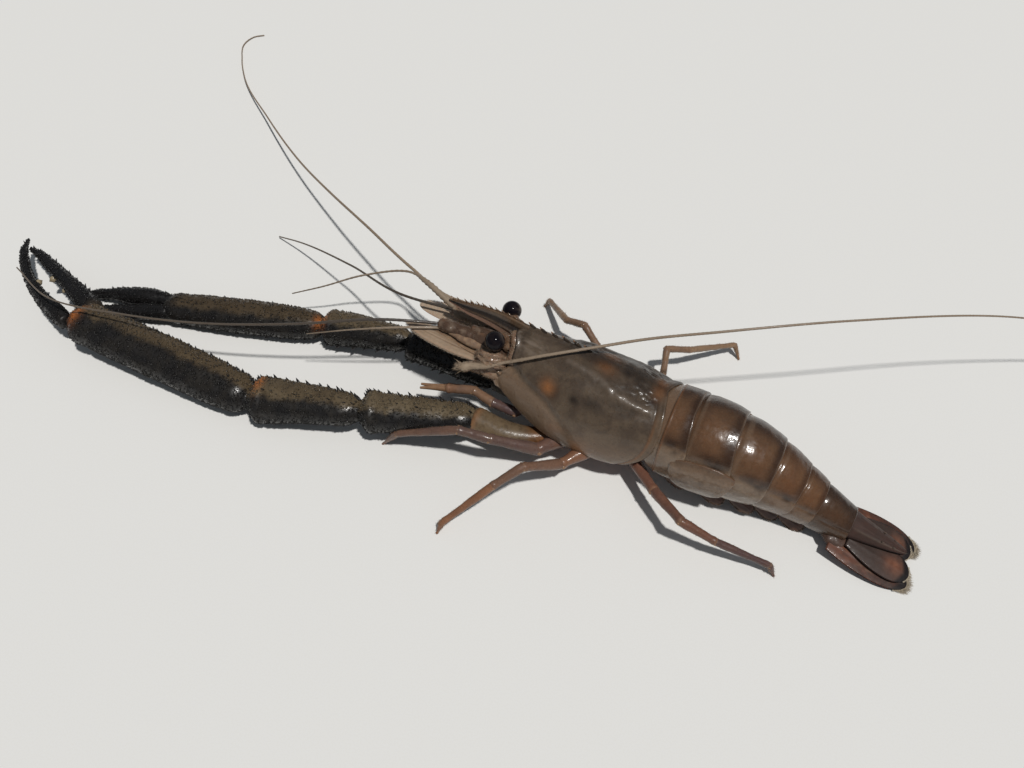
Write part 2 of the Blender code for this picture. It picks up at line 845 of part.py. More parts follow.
def make_feelers():
    """The whips, each a smooth line through a few places on the floor plan and over it."""
    made = {}
    start = body(-58.4, -4.4, 7.7)
    left_long = [
        start,
        (-69.8, -14.8, 31.0),
        (-98.2, -29.2, 28.0),
        (-126.5, -40.6, 24.5),
        (-153.5, -48.0, 21.5),
        (-184.0, -53.0, 18.6),
        (-208.0, -46.2, 14.6),
    ]
    made["left_long"] = long_feeler(
        "antennule_whip_left", left_long, 20, 0.62, FEELER_TIP_RADIUS, (0.05, 0.04, 0.035), 0
    )
    start = body(-58.2, -5.4, 6.6)
    left_short = [start, (-65.8, -14.4, 29.0), (-79.6, -21.2, 27.3), (-94.0, -27.4, 23.5)]
    shape = feeler(left_short, 10, 0.72, FEELER_TIP_RADIUS)
    made["left_short"] = paint(make_object("antennule_branch_left", shape), (0.3, 0.2, 0.16), 0.35)
    start = body(-58.4, 4.0, 7.9)
    right_long = [
        start,
        (-72.5, -1.0, 26.6),
        (-102.0, 7.9, 18.0),
        (-133.0, 16.7, 6.5),
        (-146.0, 19.4, 0.9),
    ]
    shape = feeler(right_long, 16, 0.62, FEELER_TIP_RADIUS)
    made["right_long"] = [paint(make_object("antennule_whip_right", shape), (0.05, 0.04, 0.035), 0.35)]
    start = body(-58.3, 5.2, 7.3)
    right_short = [
        start,
        (-70.6, 7.0, 27.8),
        (-76.5, 9.2, 26.0),
        (-93.0, 3.7, 21.6),
        (-106.0, -3.6, 16.2),
        (-116.0, -9.0, 12.6),
    ]
    path = curve_points(right_short, 18)
    radii = [0.95, 1.05, 1.05, 1.0, 0.9] + [0.5 - 0.22 * i / 12 for i in range(13)]
    shape = tube(path, radii, radii, 6, (0, 0, 1), 0.8)
    made["right_short"] = paint(make_object("antennule_branch_right", shape), (0.3, 0.2, 0.13), 0.35)
    cut_clear(made["right_short"], made["right_long"])
    start = body(-46.9, 12.8, 3.0)
    right = [
        start,
        body(-54.0, 12.4, 5.4),
        (-62.1, 7.3, 23.9),
        (-79.1, 12.3, 24.1),
        (-104.3, 23.3, 21.8),
        (-131.5, 36.7, 16.0),
        (-153.6, 48.6, 11.0),
        (-190.2, 71.6, 4.6),
        (-222.0, 94.3, 0.9),
        (-231.4, 104.6, 0.5),
        (-237.4, 114.2, 0.5),
        (-237.2, 120.3, 0.45),
        (-233.6, 124.1, 0.4),
    ]
    made["right"] = long_feeler("antenna_whip_right", right, 28, FEELER_RADIUS, 0.32, FEELER_BROWN, 13)
    lead = [
        (-46.9, -15.7, 24.7),
        (-48.2, -16.1, 25.3),
        (-48.5, -16.5, 26.4),
        (-47.6, -16.6, 27.4),
        (-44.4, -16.4, 27.3),
    ]
    left = [
        (-40.0, -16.1, 27.0),
        (-35.4, -14.9, 28.4),
        (-30.1, -12.1, 30.3),
        (-25.5, -10.5, 32.6),
        (-19.8, -8.4, 35.6),
        (-13.6, -4.6, 37.0),
        (-4.3, 1.9, 38.2),
        (5.1, 7.9, 40.0),
        (25.0, 18.6, 43.6),
        (57.2, 38.7, 45.5),
        (104.1, 72.8, 37.0),
        (128.0, 90.0, 26.0),
        (148.0, 104.0, 12.0),
    ]
    made["left"] = long_feeler(
        "antenna_whip_left", left, 30, FEELER_RADIUS + 0.1, 0.34, FEELER_BROWN, 17, lead
    )
    return made


# Antenna scales: root and tip on the straight body
SCALES = {
    "left": ((-38.0, -6.8, 4.6), (-67.4, -7.0, 4.8)),
    "right": ((-38.4, 7.6, 5.0), (-70.4, 6.4, 3.0)),
}


def make_antenna_bases():
    """The stout root of each second antenna, with the scale that it carries."""
    made = []
    for sign, side_name in ((-1, "left"), (1, "right")):
        path = [body(-32.6, sign * 7.0, 0.4), body(-36.0, sign * 8.8, 0.8), body(-40.2, sign * 9.8, 1.4)]
        shapes = [tube(path, [2.8, 3.4, 2.6], [2.8, 3.1, 2.3], 10)]
        if sign < 0:
            path = [body(-39.0, -10.2, 0.6), body(-43.0, -11.4, 0.6), body(-46.6, -11.8, 0.9)]
        else:
            path = [body(-39.0, 10.2, 1.2), body(-43.0, 12.0, 2.0), body(-46.0, 12.7, 2.8)]
        shapes.append(tube(path, [1.9, 1.9, 1.6], [1.7, 1.7, 1.4], 8))
        base = paint(joined(f"antenna_base_{side_name}", shapes), (0.3, 0.2, 0.13), 0.35)
        root, tip = (body(*place) for place in SCALES[side_name])
        length = float(np.linalg.norm(tip - root))
        up = tuple(unit(body(-45, 0, 12) - body(-45, 0, 2)))
        shape = blade(root, tip - root, length, 4.0, 0.6, up, sign * -0.5, 0.42, 0.68)
        scale = paint(make_object(f"antenna_scale_{side_name}", shape), PALE_TAN, 0.35)
        made.append((base, scale))
    return made


# Limbs: each article is a closed rod that overlaps the next one at the joint


def limb(joints, radii, sides=6, step=0.3):
    """One rod from joint to joint; radii holds the half size at each joint."""
    shapes = []
    for start, end, first, last in zip(joints, joints[1:], radii, radii[1:]):
        start = np.array(start, float)
        end = np.array(end, float)
        aim = unit(end - start)
        length = float(np.linalg.norm(end - start))
        path = [start - aim * step * first, start + aim * length * 0.15]
        path += [start + aim * length * 0.85, end + aim * step * last * 0.4]
        wide = [first * 0.72, first * 0.98, last * 1.08, last * 0.82]
        shapes.append(tube(path, wide, wide, sides, (0, 0, 1), 0.35))
    return shapes


# Walking legs: the root on the straight body, the joints down to the tip, the half size at each
WALKING_LEGS = {
    "leg_3_left": (
        (-7.0, -9.0, -9.6),
        [
            (-12.6, -23.2, 9.2),
            (-25.9, -30.5, 16.0),
            (-35.2, -32.7, 17.0),
            (-54.7, -38.6, 8.6),
            (-60.2, -40.1, 0.1),
        ],
        [3.0, 2.0, 1.6, 1.45, 1.15, 0.4],
    ),
    "leg_4_left": (
        (1.0, -9.0, -10.2),
        [
            (-3.6, -24.9, 10.0),
            (-12.0, -34.4, 16.0),
            (-17.9, -42.7, 12.5),
            (-27.9, -56.4, 3.2),
            (-28.4, -59.0, 0.1),
        ],
        [2.8, 1.7, 1.45, 1.3, 1.05, 0.4],
    ),
    "leg_5_left": (
        (13.6, -7.6, -10.2),
        [
            (25.3, -20.4, 10.5),
            (36.5, -27.8, 13.8),
            (47.4, -26.8, 9.5),
            (64.1, -23.4, 3.6),
            (66.4, -24.2, 0.1),
        ],
        [1.9, 1.6, 1.45, 1.2, 1.0, 0.4],
    ),
    "leg_3_right": (
        (-7.0, 8.0, -9.0),
        [(-16.0, 6.6, 6.0), (-31.0, 10.4, 8.2), (-40.4, 10.8, 7.2), (-58.0, 12.0, 2.6), (-62.0, 12.8, 0.1)],
        [2.2, 1.6, 1.5, 1.4, 1.1, 0.4],
    ),
    "leg_4_right": (
        (2.0, 8.6, -8.6),
        [
            (-2.6, 14.6, 8.4),
            (-19.4, 25.0, 14.0),
            (-26.8, 26.8, 10.5),
            (-38.1, 37.2, 3.6),
            (-39.9, 36.8, 0.1),
        ],
        [2.0, 1.35, 1.25, 1.2, 1.0, 0.4],
    ),
    "leg_5_right": (
        (10.0, 7.8, -8.4),
        [(13.0, 15.0, 8.8), (8.8, 29.6, 12.8), (15.4, 35.1, 10.0), (27.5, 49.0, 4.2), (30.6, 47.0, 0.1)],
        [1.9, 1.15, 1.15, 1.1, 0.9, 0.4],
    ),
}


def make_walking_legs(body_nodes):
    made = []
    for name, (root, joints, radii) in WALKING_LEGS.items():
        obj = joined(name, limb([body(*root)] + joints, radii))
        cut_clear(obj, body_nodes)
        flat_on_floor(obj)
        made.append(paint(obj, LEG_ORANGE, 0.4))
    return made


# First legs with their small claws, and the leg-like jaws in front of them
FIRST_LEGS = {
    "leg_1_left": [(-25.0, -15.6, 11.4), (-32.4, -16.2, 12.4), (-39.6, -15.4, 13.2), (-48.0, -17.9, 12.0)],
    "leg_1_right": [(-26.4, 3.4, 9.4), (-34.0, 4.6, 10.4), (-41.0, 5.2, 10.8), (-52.0, 4.6, 9.6)],
}


def make_small_front_limbs(body_nodes):
    made = []
    for name, joints in FIRST_LEGS.items():
        sign = -1 if name.endswith("left") else 1
        root = body(-19.0, sign * 5.0, -6.4)
        shapes = limb([root] + joints, [1.8, 1.7, 1.6, 1.5, 1.7])
        end = np.array(joints[-1], float)
        aim = unit(end - np.array(joints[-2], float))
        across = unit(np.cross((0, 0, 1), aim))
        for spread in (-0.085, 0.085):
            reach = aim + across * spread
            path = [end - aim * 1.2 + across * spread * 8, end + reach * 4.2, end + reach * 9.0]
            shapes.append(tube(path, [0.8, 0.75, 0.4], [1.1, 0.9, 0.4], 6))
        obj = joined(name, shapes)
        cut_clear(obj, body_nodes)
        made.append(paint(obj, (0.22, 0.10, 0.04), 0.4))
    for sign, side_name in ((-1, "left"), (1, "right")):
        joints = [
            body(-25.0, sign * 3.4, -2.4),
            body(-33.0, sign * 3.6, -3.0),
            body(-41.0, sign * 3.0, -1.2),
            body(-48.6, sign * 2.3, -2.6),
        ]
        obj = joined(f"jaw_leg_{side_name}", limb(joints, [1.9, 1.7, 1.5, 0.8]))
        cut_clear(obj, body_nodes)
        made.append(paint(obj, (0.2, 0.09, 0.05), 0.45))
    return made


# Big claws


def spine_rows(path, wide, high, rows, draw, lean, radius=0.5, length=1.35, up=(0, 0, 1)):
    """Spines in rows along a limb; each row is an angle, a count and a size."""
    shapes = []
    turned = frames(path, up)
    total = len(path) - 1
    for angle, count, size in rows:
        for i in range(count):
            t = (i + 0.5 + draw.uniform(-0.22, 0.22)) / count * total
            k = min(int(t), total - 1)
            f = t - k
            turn = math.radians(angle + draw.uniform(-7, 7))
            tangent, side, top = turned[k]
            out = side * math.cos(turn) + top * math.sin(turn)
            w = wide[k] * (1 - f) + wide[k + 1] * f
            h = high[k] * (1 - f) + high[k + 1] * f
            centre = np.array(path[k]) * (1 - f) + np.array(path[k + 1]) * f
            reach = 1.0 / math.sqrt((math.cos(turn) / w) ** 2 + (math.sin(turn) / h) ** 2)
            grown = size * draw.uniform(0.8, 1.2)
            foot = centre + out * reach * 0.97
            shapes.append(cone(foot, out + tangent * lean, length * grown, radius * grown, 3, 0.45))
    return shapes


def claw_article(name, path, wide, high, rows, seed, colour, extra=(), sides=10, up=(0, 0, 1)):
    draw = random.Random(seed)
    shapes = [tube(path, wide, high, sides, up, 0.45)]
    shapes += list(extra)
    shapes += spine_rows(path, wide, high, rows, draw, 0.55, up=up)
    return paint(joined(name, shapes), colour, 0.3)


def along_line(start, end, places, sag=0.0):
    """Points between two ends; sag bends the middle upwards."""
    start = np.array(start, float)
    end = np.array(end, float)
    return [start + (end - start) * t + np.array((0, 0, 1)) * sag * 4 * t * (1 - t) for t in places]


def make_left_claw():
    nodes = []
    hip = body(-9.0, -7.0, -10.6)
    knee = np.array((-34.9, -23.6, 10.2))
    wrist = np.array((-68.8, -37.2, 9.2))
    palm_start = np.array((-104.6, -48.6, 6.3))
    palm_end = np.array((-177.0, -51.6, 9.6))
    path = [hip, (-15.0, -18.6, 8.2), (-24.0, -22.6, 9.4), knee + (0.6, 0.4, 0)]
    hip_piece = tube(path, [2.8, 3.3, 4.0, 4.4], [2.8, 3.2, 3.6, 4.0], 10)
    path = along_line(knee, wrist + (1.2, 0.5, 0), (0.0, 0.06, 0.3, 0.6, 0.86, 0.97, 1.0), 0.4)
    wide = [3.8, 4.8, 5.5, 6.1, 6.6, 6.4, 4.8]
    high = [3.4, 4.2, 4.8, 5.4, 5.9, 5.6, 4.0]
    rows = [(150, 12, 1.5), (180, 7, 0.9), (90, 6, 0.8), (-25, 6, 0.7)]
    nodes.append(claw_article("claw_left_merus", path, wide, high, rows, 2, CLAW_BROWN, [hip_piece]))
    places = (0.0, 0.06, 0.25, 0.55, 0.85, 0.96, 1.0)
    path = along_line(wrist + (-0.9, -0.1, 0), palm_start + (0.9, 0.4, 0), places, 0.5)
    wide = [3.5, 4.8, 5.9, 6.8, 7.6, 7.4, 5.2]
    high = [3.0, 4.0, 5.0, 5.8, 6.5, 6.2, 4.4]
    rows = [(150, 13, 1.6), (182, 7, 1.0), (90, 7, 0.8), (-28, 7, 0.8)]
    nodes.append(claw_article("claw_left_carpus", path, wide, high, rows, 3, CLAW_BROWN))
    places = (0.0, 0.03, 0.12, 0.35, 0.6, 0.85, 0.97, 1.0)
    path = along_line(palm_start + (-0.9, 0, 0), palm_end, places, 0.0)
    fixed = [
        (-174.0, -46.4, 9.8),
        (-181.5, -43.8, 9.8),
        (-188.5, -41.6, 9.6),
        (-196.7, -39.2, 9.3),
        (-204.6, -36.9, 9.1),
        (-211.6, -35.0, 8.8),
        (-217.6, -34.1, 8.4),
    ]
    finger_wide = [3.6, 3.4, 2.9, 2.5, 2.1, 1.5, 0.6]
    finger_high = [4.2, 4.2, 3.6, 3.0, 2.3, 1.6, 0.6]
    finger = tube(fixed, finger_wide, finger_high, 10)
    extra = [finger, cone((-197.8, -41.4, 9.2), (-0.2, -1.0, 0.0), 2.2, 1.4, 6, 0.9)]
    draw = random.Random(5)
    finger_rows = [(150, 10, 0.9), (100, 6, 0.7)]
    extra += spine_rows(fixed, finger_wide, finger_high, finger_rows, draw, 0.5)
    wide = [4.2, 6.0, 7.1, 7.7, 7.8, 7.4, 6.4, 4.2]
    high = [3.4, 5.0, 6.0, 6.5, 6.5, 6.0, 5.2, 3.6]
    rows = [(150, 26, 1.5), (180, 10, 0.9), (100, 9, 0.8), (50, 8, 0.8), (-28, 10, 0.8)]
    nodes.append(claw_article("claw_left_palm", path, wide, high, rows, 4, DARK_CLAW, extra))
    moving = [
        (-179.4, -54.4, 9.8),
        (-186.0, -52.8, 9.8),
        (-194.4, -50.5, 9.6),
        (-202.9, -47.0, 9.3),
        (-210.7, -42.6, 9.1),
        (-215.9, -38.5, 9.0),
        (-219.3, -35.0, 8.9),
        (-221.6, -31.0, 8.8),
    ]
    wide = [2.7, 2.8, 2.3, 1.9, 1.6, 1.4, 1.0, 0.35]
    high = [2.8, 3.7, 3.2, 2.6, 2.1, 1.7, 1.2, 0.35]
    rows = [(-30, 9, 0.8), (60, 7, 0.7)]
    tooth = cone((-201.4, -46.2, 9.3), (0.35, 1.0, 0.0), 1.8, 1.2, 6, 0.9)
    nodes.append(claw_article("claw_left_dactyl", moving, wide, high, rows, 6, DARK_CLAW, [tooth], 10))
    return nodes


def make_right_claw():
    nodes = []
    hip = body(-9.0, 4.6, -11.4)
    knee = np.array((-36.8, -5.9, 10.2))
    wrist = np.array((-70.0, -5.6, 9.4))
    palm_start = np.array((-101.2, -12.0, 6.2))
    palm_end = np.array((-157.0, -30.3, 4.6))
    path = [hip, (-17.0, -2.0, 4.6), (-26.0, -5.2, 7.0), knee + (0.8, 0, -0.3)]
    hip_piece = tube(path, [2.4, 2.8, 3.4, 4.0], [2.2, 2.4, 3.2, 3.6], 10)
    path = along_line(knee, wrist + (0.9, 0, 0), (0.0, 0.06, 0.3, 0.6, 0.86, 0.97, 1.0), 0.2)
    wide = [3.2, 4.2, 4.9, 5.4, 5.8, 5.5, 4.0]
    high = [3.0, 3.9, 4.6, 5.0, 5.4, 5.1, 3.6]
    rows = [(-28, 12, 1.4), (20, 8, 1.1), (150, 10, 0.9)]
    nodes.append(claw_article("claw_right_merus", path, wide, high, rows, 12, DARK_CLAW, [hip_piece]))
    places = (0.0, 0.06, 0.25, 0.55, 0.85, 0.96, 1.0)
    path = along_line(wrist + (-0.9, -0.1, 0), palm_start + (0.9, 0.3, 0), places, 0.4)
    wide = [2.8, 3.8, 4.7, 5.5, 6.1, 5.8, 4.2]
    high = [2.6, 3.6, 4.4, 5.1, 5.6, 5.3, 3.8]
    rows = [(-28, 12, 1.3), (20, 7, 1.0), (150, 11, 0.9)]
    nodes.append(claw_article("claw_right_carpus", path, wide, high, rows, 13, CLAW_BROWN))
    places = (0.0, 0.03, 0.12, 0.35, 0.6, 0.85, 0.97, 1.0)
    path = along_line(palm_start + (-0.9, -0.3, 0), palm_end, places, 0.0)
    fixed = [
        (-155.0, -32.6, 4.8),
        (-161.5, -34.8, 4.3),
        (-168.4, -37.6, 3.6),
        (-175.4, -40.4, 2.8),
        (-182.0, -42.8, 2.1),
        (-187.6, -44.2, 1.5),
    ]
    finger_wide = [2.8, 3.1, 2.9, 2.5, 1.8, 0.6]
    finger_high = [3.0, 2.7, 2.3, 1.8, 1.3, 0.6]
    finger = tube(fixed, finger_wide, finger_high, 8)
    extra = [finger]
    draw = random.Random(15)
    finger_rows = [(-30, 8, 0.8)]
    extra += spine_rows(fixed, finger_wide, finger_high, finger_rows, draw, 0.5)
    wide = [3.0, 4.3, 5.4, 6.2, 6.3, 5.7, 4.8, 3.2]
    high = [2.8, 4.0, 4.9, 5.3, 5.2, 4.8, 4.2, 2.8]
    rows = [(-28, 18, 1.1), (30, 9, 0.8), (150, 13, 0.8)]
    nodes.append(claw_article("claw_right_palm", path, wide, high, rows, 14, CLAW_BROWN, extra))
    moving = [
        (-158.4, -27.4, 4.8),
        (-166.4, -29.9, 4.6),
        (-173.6, -32.3, 4.1),
        (-180.6, -34.7, 3.4),
        (-187.0, -37.6, 2.6),
        (-192.4, -40.8, 1.7),
    ]
    wide = [2.2, 3.2, 2.7, 1.8, 1.3, 0.5]
    high = [2.2, 3.2, 2.9, 2.3, 1.7, 0.5]
    rows = [(150, 10, 0.8), (90, 5, 0.6)]
    nodes.append(claw_article("claw_right_dactyl", moving, wide, high, rows, 16, DARK_CLAW, [], 8))
    return nodes


def centre_on_floor():
    """Moves the whole model: the middle of its box over the origin, its lowest point at 0."""
    meshes = [obj.data for obj in bpy.data.objects]
    corners = np.array([vertex.co for mesh in meshes for vertex in mesh.vertices])
    low = corners.min(axis=0)
    high = corners.max(axis=0)
    shift = Vector((-(low[0] + high[0]) / 2, -(low[1] + high[1]) / 2, -low[2]))
    for mesh in meshes:
        for vertex in mesh.vertices:
            vertex.co += shift
        mesh.update()


def main():
    for old in list(bpy.data.objects):
        bpy.data.objects.remove(old)

    carapace = make_carapace()
    thorax = paint(make_object("thorax", thorax_shape(0.0)), BELLY, 0.4)
    rostrum = make_rostrum()
    cut_clear(rostrum, [carapace, thorax])
    segments = [make_segment(i) for i in range(1, 7)]
    for i in (0, 2):
        cut_clear(segments[i], [segments[1]])
    telson = make_telson()
    uropods = make_uropods()
    for outer, inner in uropods:
        cut_clear(inner, [segments[5], telson])
        cut_clear(outer, [segments[5], telson, inner])
        flat_on_floor(outer)
    cut_clear(uropods[1][1], [uropods[0][1]])
    cut_clear(uropods[1][0], [uropods[0][1], uropods[0][0]])
    make_pleopods(segments)
    eyes = make_eyes()
    for eye, stalk in eyes:
        cut_clear(eye, [rostrum, carapace])
        cut_clear(stalk, [rostrum, carapace, thorax])
    antennules = make_antennules()
    bases = make_antenna_bases()
    for i in (0, 1):
        cut_clear(antennules[i], [thorax, rostrum, eyes[i][1], eyes[i][0]])
        cut_clear(bases[i][0], [thorax, carapace, eyes[i][1], eyes[i][0]])
        cut_clear(bases[i][1], [bases[i][0], eyes[i][0], antennules[i]])
    feelers = make_feelers()
    for side_name, i in (("left", 0), ("right", 1)):
        cut_clear(feelers[f"{side_name}_short"], [antennules[i]])
        cut_clear(feelers[side_name][0], [*bases[i], carapace, thorax])
        cut_clear(feelers[f"{side_name}_long"][0], [antennules[i]])
    trunk = [thorax, carapace, segments[0]]
    left = make_left_claw()
    right = make_right_claw()
    cut_clear(left[0], trunk)
    cut_clear(right[0], trunk)
    for claw in (left, right):
        for inner, outer in zip(claw, claw[1:]):
            cut_clear(outer, [inner])
            flat_on_floor(outer)
    make_small_front_limbs(trunk)
    legs = make_walking_legs(trunk)
    cut_clear(left[0], [legs[0]])
    centre_on_floor()


main()
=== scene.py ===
"""African river prawn: the looks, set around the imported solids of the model.

Shapes are drawn in millimetres on the same curved body axis as the solids, and are
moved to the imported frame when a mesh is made. The head points to -X and up is +Z.
"""

import functools
import math
import random

import bpy
import numpy as np
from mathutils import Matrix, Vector


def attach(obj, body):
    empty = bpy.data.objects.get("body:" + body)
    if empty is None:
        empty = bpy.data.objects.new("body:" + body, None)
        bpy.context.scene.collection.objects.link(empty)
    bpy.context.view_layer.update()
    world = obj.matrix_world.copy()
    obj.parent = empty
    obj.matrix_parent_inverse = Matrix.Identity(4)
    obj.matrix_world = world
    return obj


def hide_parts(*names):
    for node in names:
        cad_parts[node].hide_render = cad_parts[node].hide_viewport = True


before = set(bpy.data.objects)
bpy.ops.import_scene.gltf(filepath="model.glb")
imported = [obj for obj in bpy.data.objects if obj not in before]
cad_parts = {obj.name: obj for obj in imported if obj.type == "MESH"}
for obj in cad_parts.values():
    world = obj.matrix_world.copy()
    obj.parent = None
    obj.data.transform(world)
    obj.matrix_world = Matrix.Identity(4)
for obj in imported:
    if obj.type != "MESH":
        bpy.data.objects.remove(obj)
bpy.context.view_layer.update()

MM = 0.001
GAP = 0.3
# From the drawing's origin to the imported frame's origin, in millimetres
SHIFT = np.array((44.8913, -32.4779, 0.0))

# Named sizes of the whole animal, as in the solids
ROSTRUM_TIP = -58.0
ORBIT = -30.5
SEGMENT_ENDS = [17.8, 28.8, 41.2, 52.6, 62.2, 69.6, 82.0]
TELSON_TIP = 101.0
EYE_RADIUS = 3.1

# Body axis: distance along the body, then x, y, z and roll in degrees
AXIS_ROWS = [
    (-62.0, -61.0, -4.3, 20.2, 15.0),
    (-32.0, -31.5, -4.8, 18.7, 16.0),
    (0.0, 0.0, -3.9, 17.3, 16.0),
    (17.5, 17.5, -2.2, 17.5, 12.0),
    (29.0, 29.0, -1.8, 17.6, 8.0),
    (42.0, 42.0, -1.4, 17.2, 4.0),
    (50.1, 50.0, -0.8, 15.5, 1.0),
    (59.0, 58.5, -0.6, 12.9, 0.0),
    (66.5, 65.5, -0.6, 10.4, 0.0),
    (77.4, 75.7, -0.8, 6.7, 0.0),
    (101.4, 99.0, -0.6, 2.6, 0.0),
]

# Carapace section: distance, half width, height over the axis, depth under it, angle of its edge
CARAPACE_ROWS = [
    (-36.0, 9.2, 15.6, 9.5, 92.0),
    (-30.0, 10.4, 16.6, 11.5, 101.0),
    (-23.0, 12.2, 16.9, 13.2, 116.0),
    (-12.0, 15.2, 17.7, 14.4, 127.0),
    (0.0, 16.1, 17.2, 15.0, 133.0),
    (9.0, 15.8, 16.2, 14.6, 130.0),
    (17.5, 14.3, 14.3, 13.2, 121.0),
    (22.0, 14.3, 14.4, 13.2, 119.0),
]

# Front edge of the carapace: how far down the side, then the distance along the body
MARGIN_ROWS = [
    (0.0, -30.5),
    (0.12, -32.0),
    (0.36, -30.4),
    (0.55, -30.0),
    (0.7, -31.0),
    (0.82, -34.0),
    (0.9, -34.2),
    (1.0, -32.8),
]

# Rear edge of the carapace, a rounded lobe at each side
REAR_ROWS = [
    (0.0, 18.4),
    (0.14, 19.4),
    (0.32, 20.5),
    (0.46, 20.9),
    (0.62, 20.6),
    (0.78, 19.2),
    (0.9, 16.8),
    (1.0, 13.0),
]

# Thorax under the carapace: distance, half width, height, depth
THORAX_ROWS = [
    (-34.0, 6.0, 11.0, 4.0),
    (-30.0, 7.6, 13.4, 6.0),
    (-22.0, 10.0, 14.7, 9.0),
    (-12.0, 12.4, 14.9, 12.2),
    (0.0, 13.4, 14.4, 13.8),
    (9.0, 13.1, 13.5, 13.6),
    (17.2, 12.0, 12.1, 11.5),
]

# Abdomen section: distance, half width, height, angle of the lower edge, depth, belly
ABDOMEN_ROWS = [
    (17.8, 13.7, 13.9, 119.0, 13.0, -6.0),
    (28.6, 14.2, 14.6, 123.0, 13.6, -6.4),
    (40.6, 13.2, 14.1, 130.0, 13.2, -6.2),
    (50.6, 11.4, 12.2, 131.0, 12.2, -5.6),
    (59.3, 9.5, 10.2, 130.0, 10.2, -4.8),
    (66.5, 8.1, 8.7, 127.0, 8.4, -4.0),
    (82.0, 5.5, 5.9, 117.0, 5.5, -2.7),
]


# Curves and the body's own coordinates


def unit(vectors):
    vectors = np.asarray(vectors, float)
    return vectors / np.maximum(np.linalg.norm(vectors, axis=-1, keepdims=True), 1e-9)


def track(rows):
    """A smooth function through rows whose first value is the distance."""
    table = np.array(rows, float)
    place = table[:, 0]
    value = table[:, 1:]
    slope = np.gradient(value, place, axis=0)

    def at(distance):
        where = np.clip(np.asarray(distance, float), place[0], place[-1])
        i = np.clip(np.searchsorted(place, where, side="right") - 1, 0, len(place) - 2)
        width = place[i + 1] - place[i]
        t = ((where - place[i]) / width)[..., None]
        width = width[..., None]
        near = (1 + 2 * t) * (1 - t) ** 2 * value[i] + t * (1 - t) ** 2 * width * slope[i]
        far = t * t * (3 - 2 * t) * value[i + 1] + t * t * (t - 1) * width * slope[i + 1]
        return near + far

    return at


axis_at = track(AXIS_ROWS)
carapace_at = track(CARAPACE_ROWS)
margin_at = track(MARGIN_ROWS)
rear_at = track(REAR_ROWS)
thorax_at = track(THORAX_ROWS)
abdomen_at = track(ABDOMEN_ROWS)


def body(along, side, up):
    """Places on the lying animal, from places on the straight body."""
    along, side, up = np.broadcast_arrays(*(np.asarray(v, float) for v in (along, side, up)))
    first = AXIS_ROWS[0][0]
    last = AXIS_ROWS[-1][0]
    inside = np.clip(along, first, last)
    row = axis_at(inside)
    ahead = axis_at(np.minimum(inside + 0.5, last))[..., :3]
    tangent = unit(ahead - axis_at(np.maximum(inside - 0.5, first))[..., :3])
    right = unit(np.cross((0.0, 0.0, 1.0), tangent))
    top = np.cross(tangent, right)
    turn = np.radians(row[..., 3])[..., None]
    across = right * np.cos(turn) - top * np.sin(turn)
    above = top * np.cos(turn) + right * np.sin(turn)
    spot = row[..., :3] + tangent * (along - inside)[..., None]
    return spot + across * side[..., None] + above * up[..., None]


def smooth_step(value, low, high):
    t = np.clip((np.asarray(value, float) - low) / (high - low), 0, 1)
    return t * t * (3 - 2 * t)


def hill(value, middle, width):
    return np.exp(-(((np.asarray(value, float) - middle) / width) ** 2))


def blob(x, y):
    """A soft round spot, 1 where x and y are both 0."""
    return hill(np.hypot(x, y), 0.0, 1.0)


def strongest(*layers):
    """The highest of several layers at each point."""
    return functools.reduce(np.maximum, layers)


def tone_stack(*channels):
    """The four painted areas of each point, from 0 to 1."""
    return np.clip(np.stack(channels, -1), 0, 1)


def lattice(i, j, k, seed):
    number = (i * 374761393 + j * 668265263 + k * 1440662683 + seed * 974711) & 0xFFFFFFFF
    number = ((number ^ (number >> 13)) * 1274126177) & 0xFFFFFFFF
    return ((number ^ (number >> 16)) & 0xFFFF) / 65535.0


def cloud(points, size, seed):
    """Smooth seeded noise between 0 and 1 at places, its largest lumps about size across."""
    total = 0.0
    weight = 0.0
    share = 1.0
    for octave in range(3):
        q = np.asarray(points, float) / size + 311.7 * (octave + 1)
        cell = np.floor(q).astype(np.int64)
        f = q - cell
        f = f * f * (3 - 2 * f)
        value = 0.0
        for corner in range(8):
            dx, dy, dz = corner & 1, (corner >> 1) & 1, corner >> 2
            part = (f[..., 0] if dx else 1 - f[..., 0]) * (f[..., 1] if dy else 1 - f[..., 1])
            part = part * (f[..., 2] if dz else 1 - f[..., 2])
            value = value + part * lattice(
                cell[..., 0] + dx, cell[..., 1] + dy, cell[..., 2] + dz, seed + octave
            )
        total = total + value * share
        weight += share
        share *= 0.5
        size *= 0.5
    return total / weight


# Grids of points


def frames(path, up):
    """Tangent, side and top directions along a path."""
    tangents = unit(np.gradient(path, axis=0))
    guide = np.array(up, float)
    if abs(np.dot(guide, tangents[0])) > 0.93:
        guide = np.array((1.0, 0.0, 0.0))
    side = unit(np.cross(guide, tangents[0]))
    sides = []
    for tangent in tangents:
        side = unit(side - tangent * np.dot(side, tangent))
        sides.append(side)
    sides = np.array(sides)
    return tangents, sides, np.cross(tangents, sides)


def finer(path, sizes, count):
    """The same line with count even steps, and its sizes at each step."""
    path = np.array(path, float)
    steps = np.linalg.norm(np.diff(path, axis=0), axis=1)
    distance = np.concatenate([[0.0], np.cumsum(steps)])
    rows = np.column_stack([distance, path] + [np.array(size, float) for size in sizes])
    value = track(rows)(np.linspace(0, distance[-1], count))
    low = [min(size) * 0.6 for size in sizes]
    return value[:, :3], [np.maximum(value[:, 3 + i], low[i]) for i in range(len(sizes))]


def curve_points(places, count):
    """A smooth line through places, in count even steps."""
    return finer(places, (), count)[0]


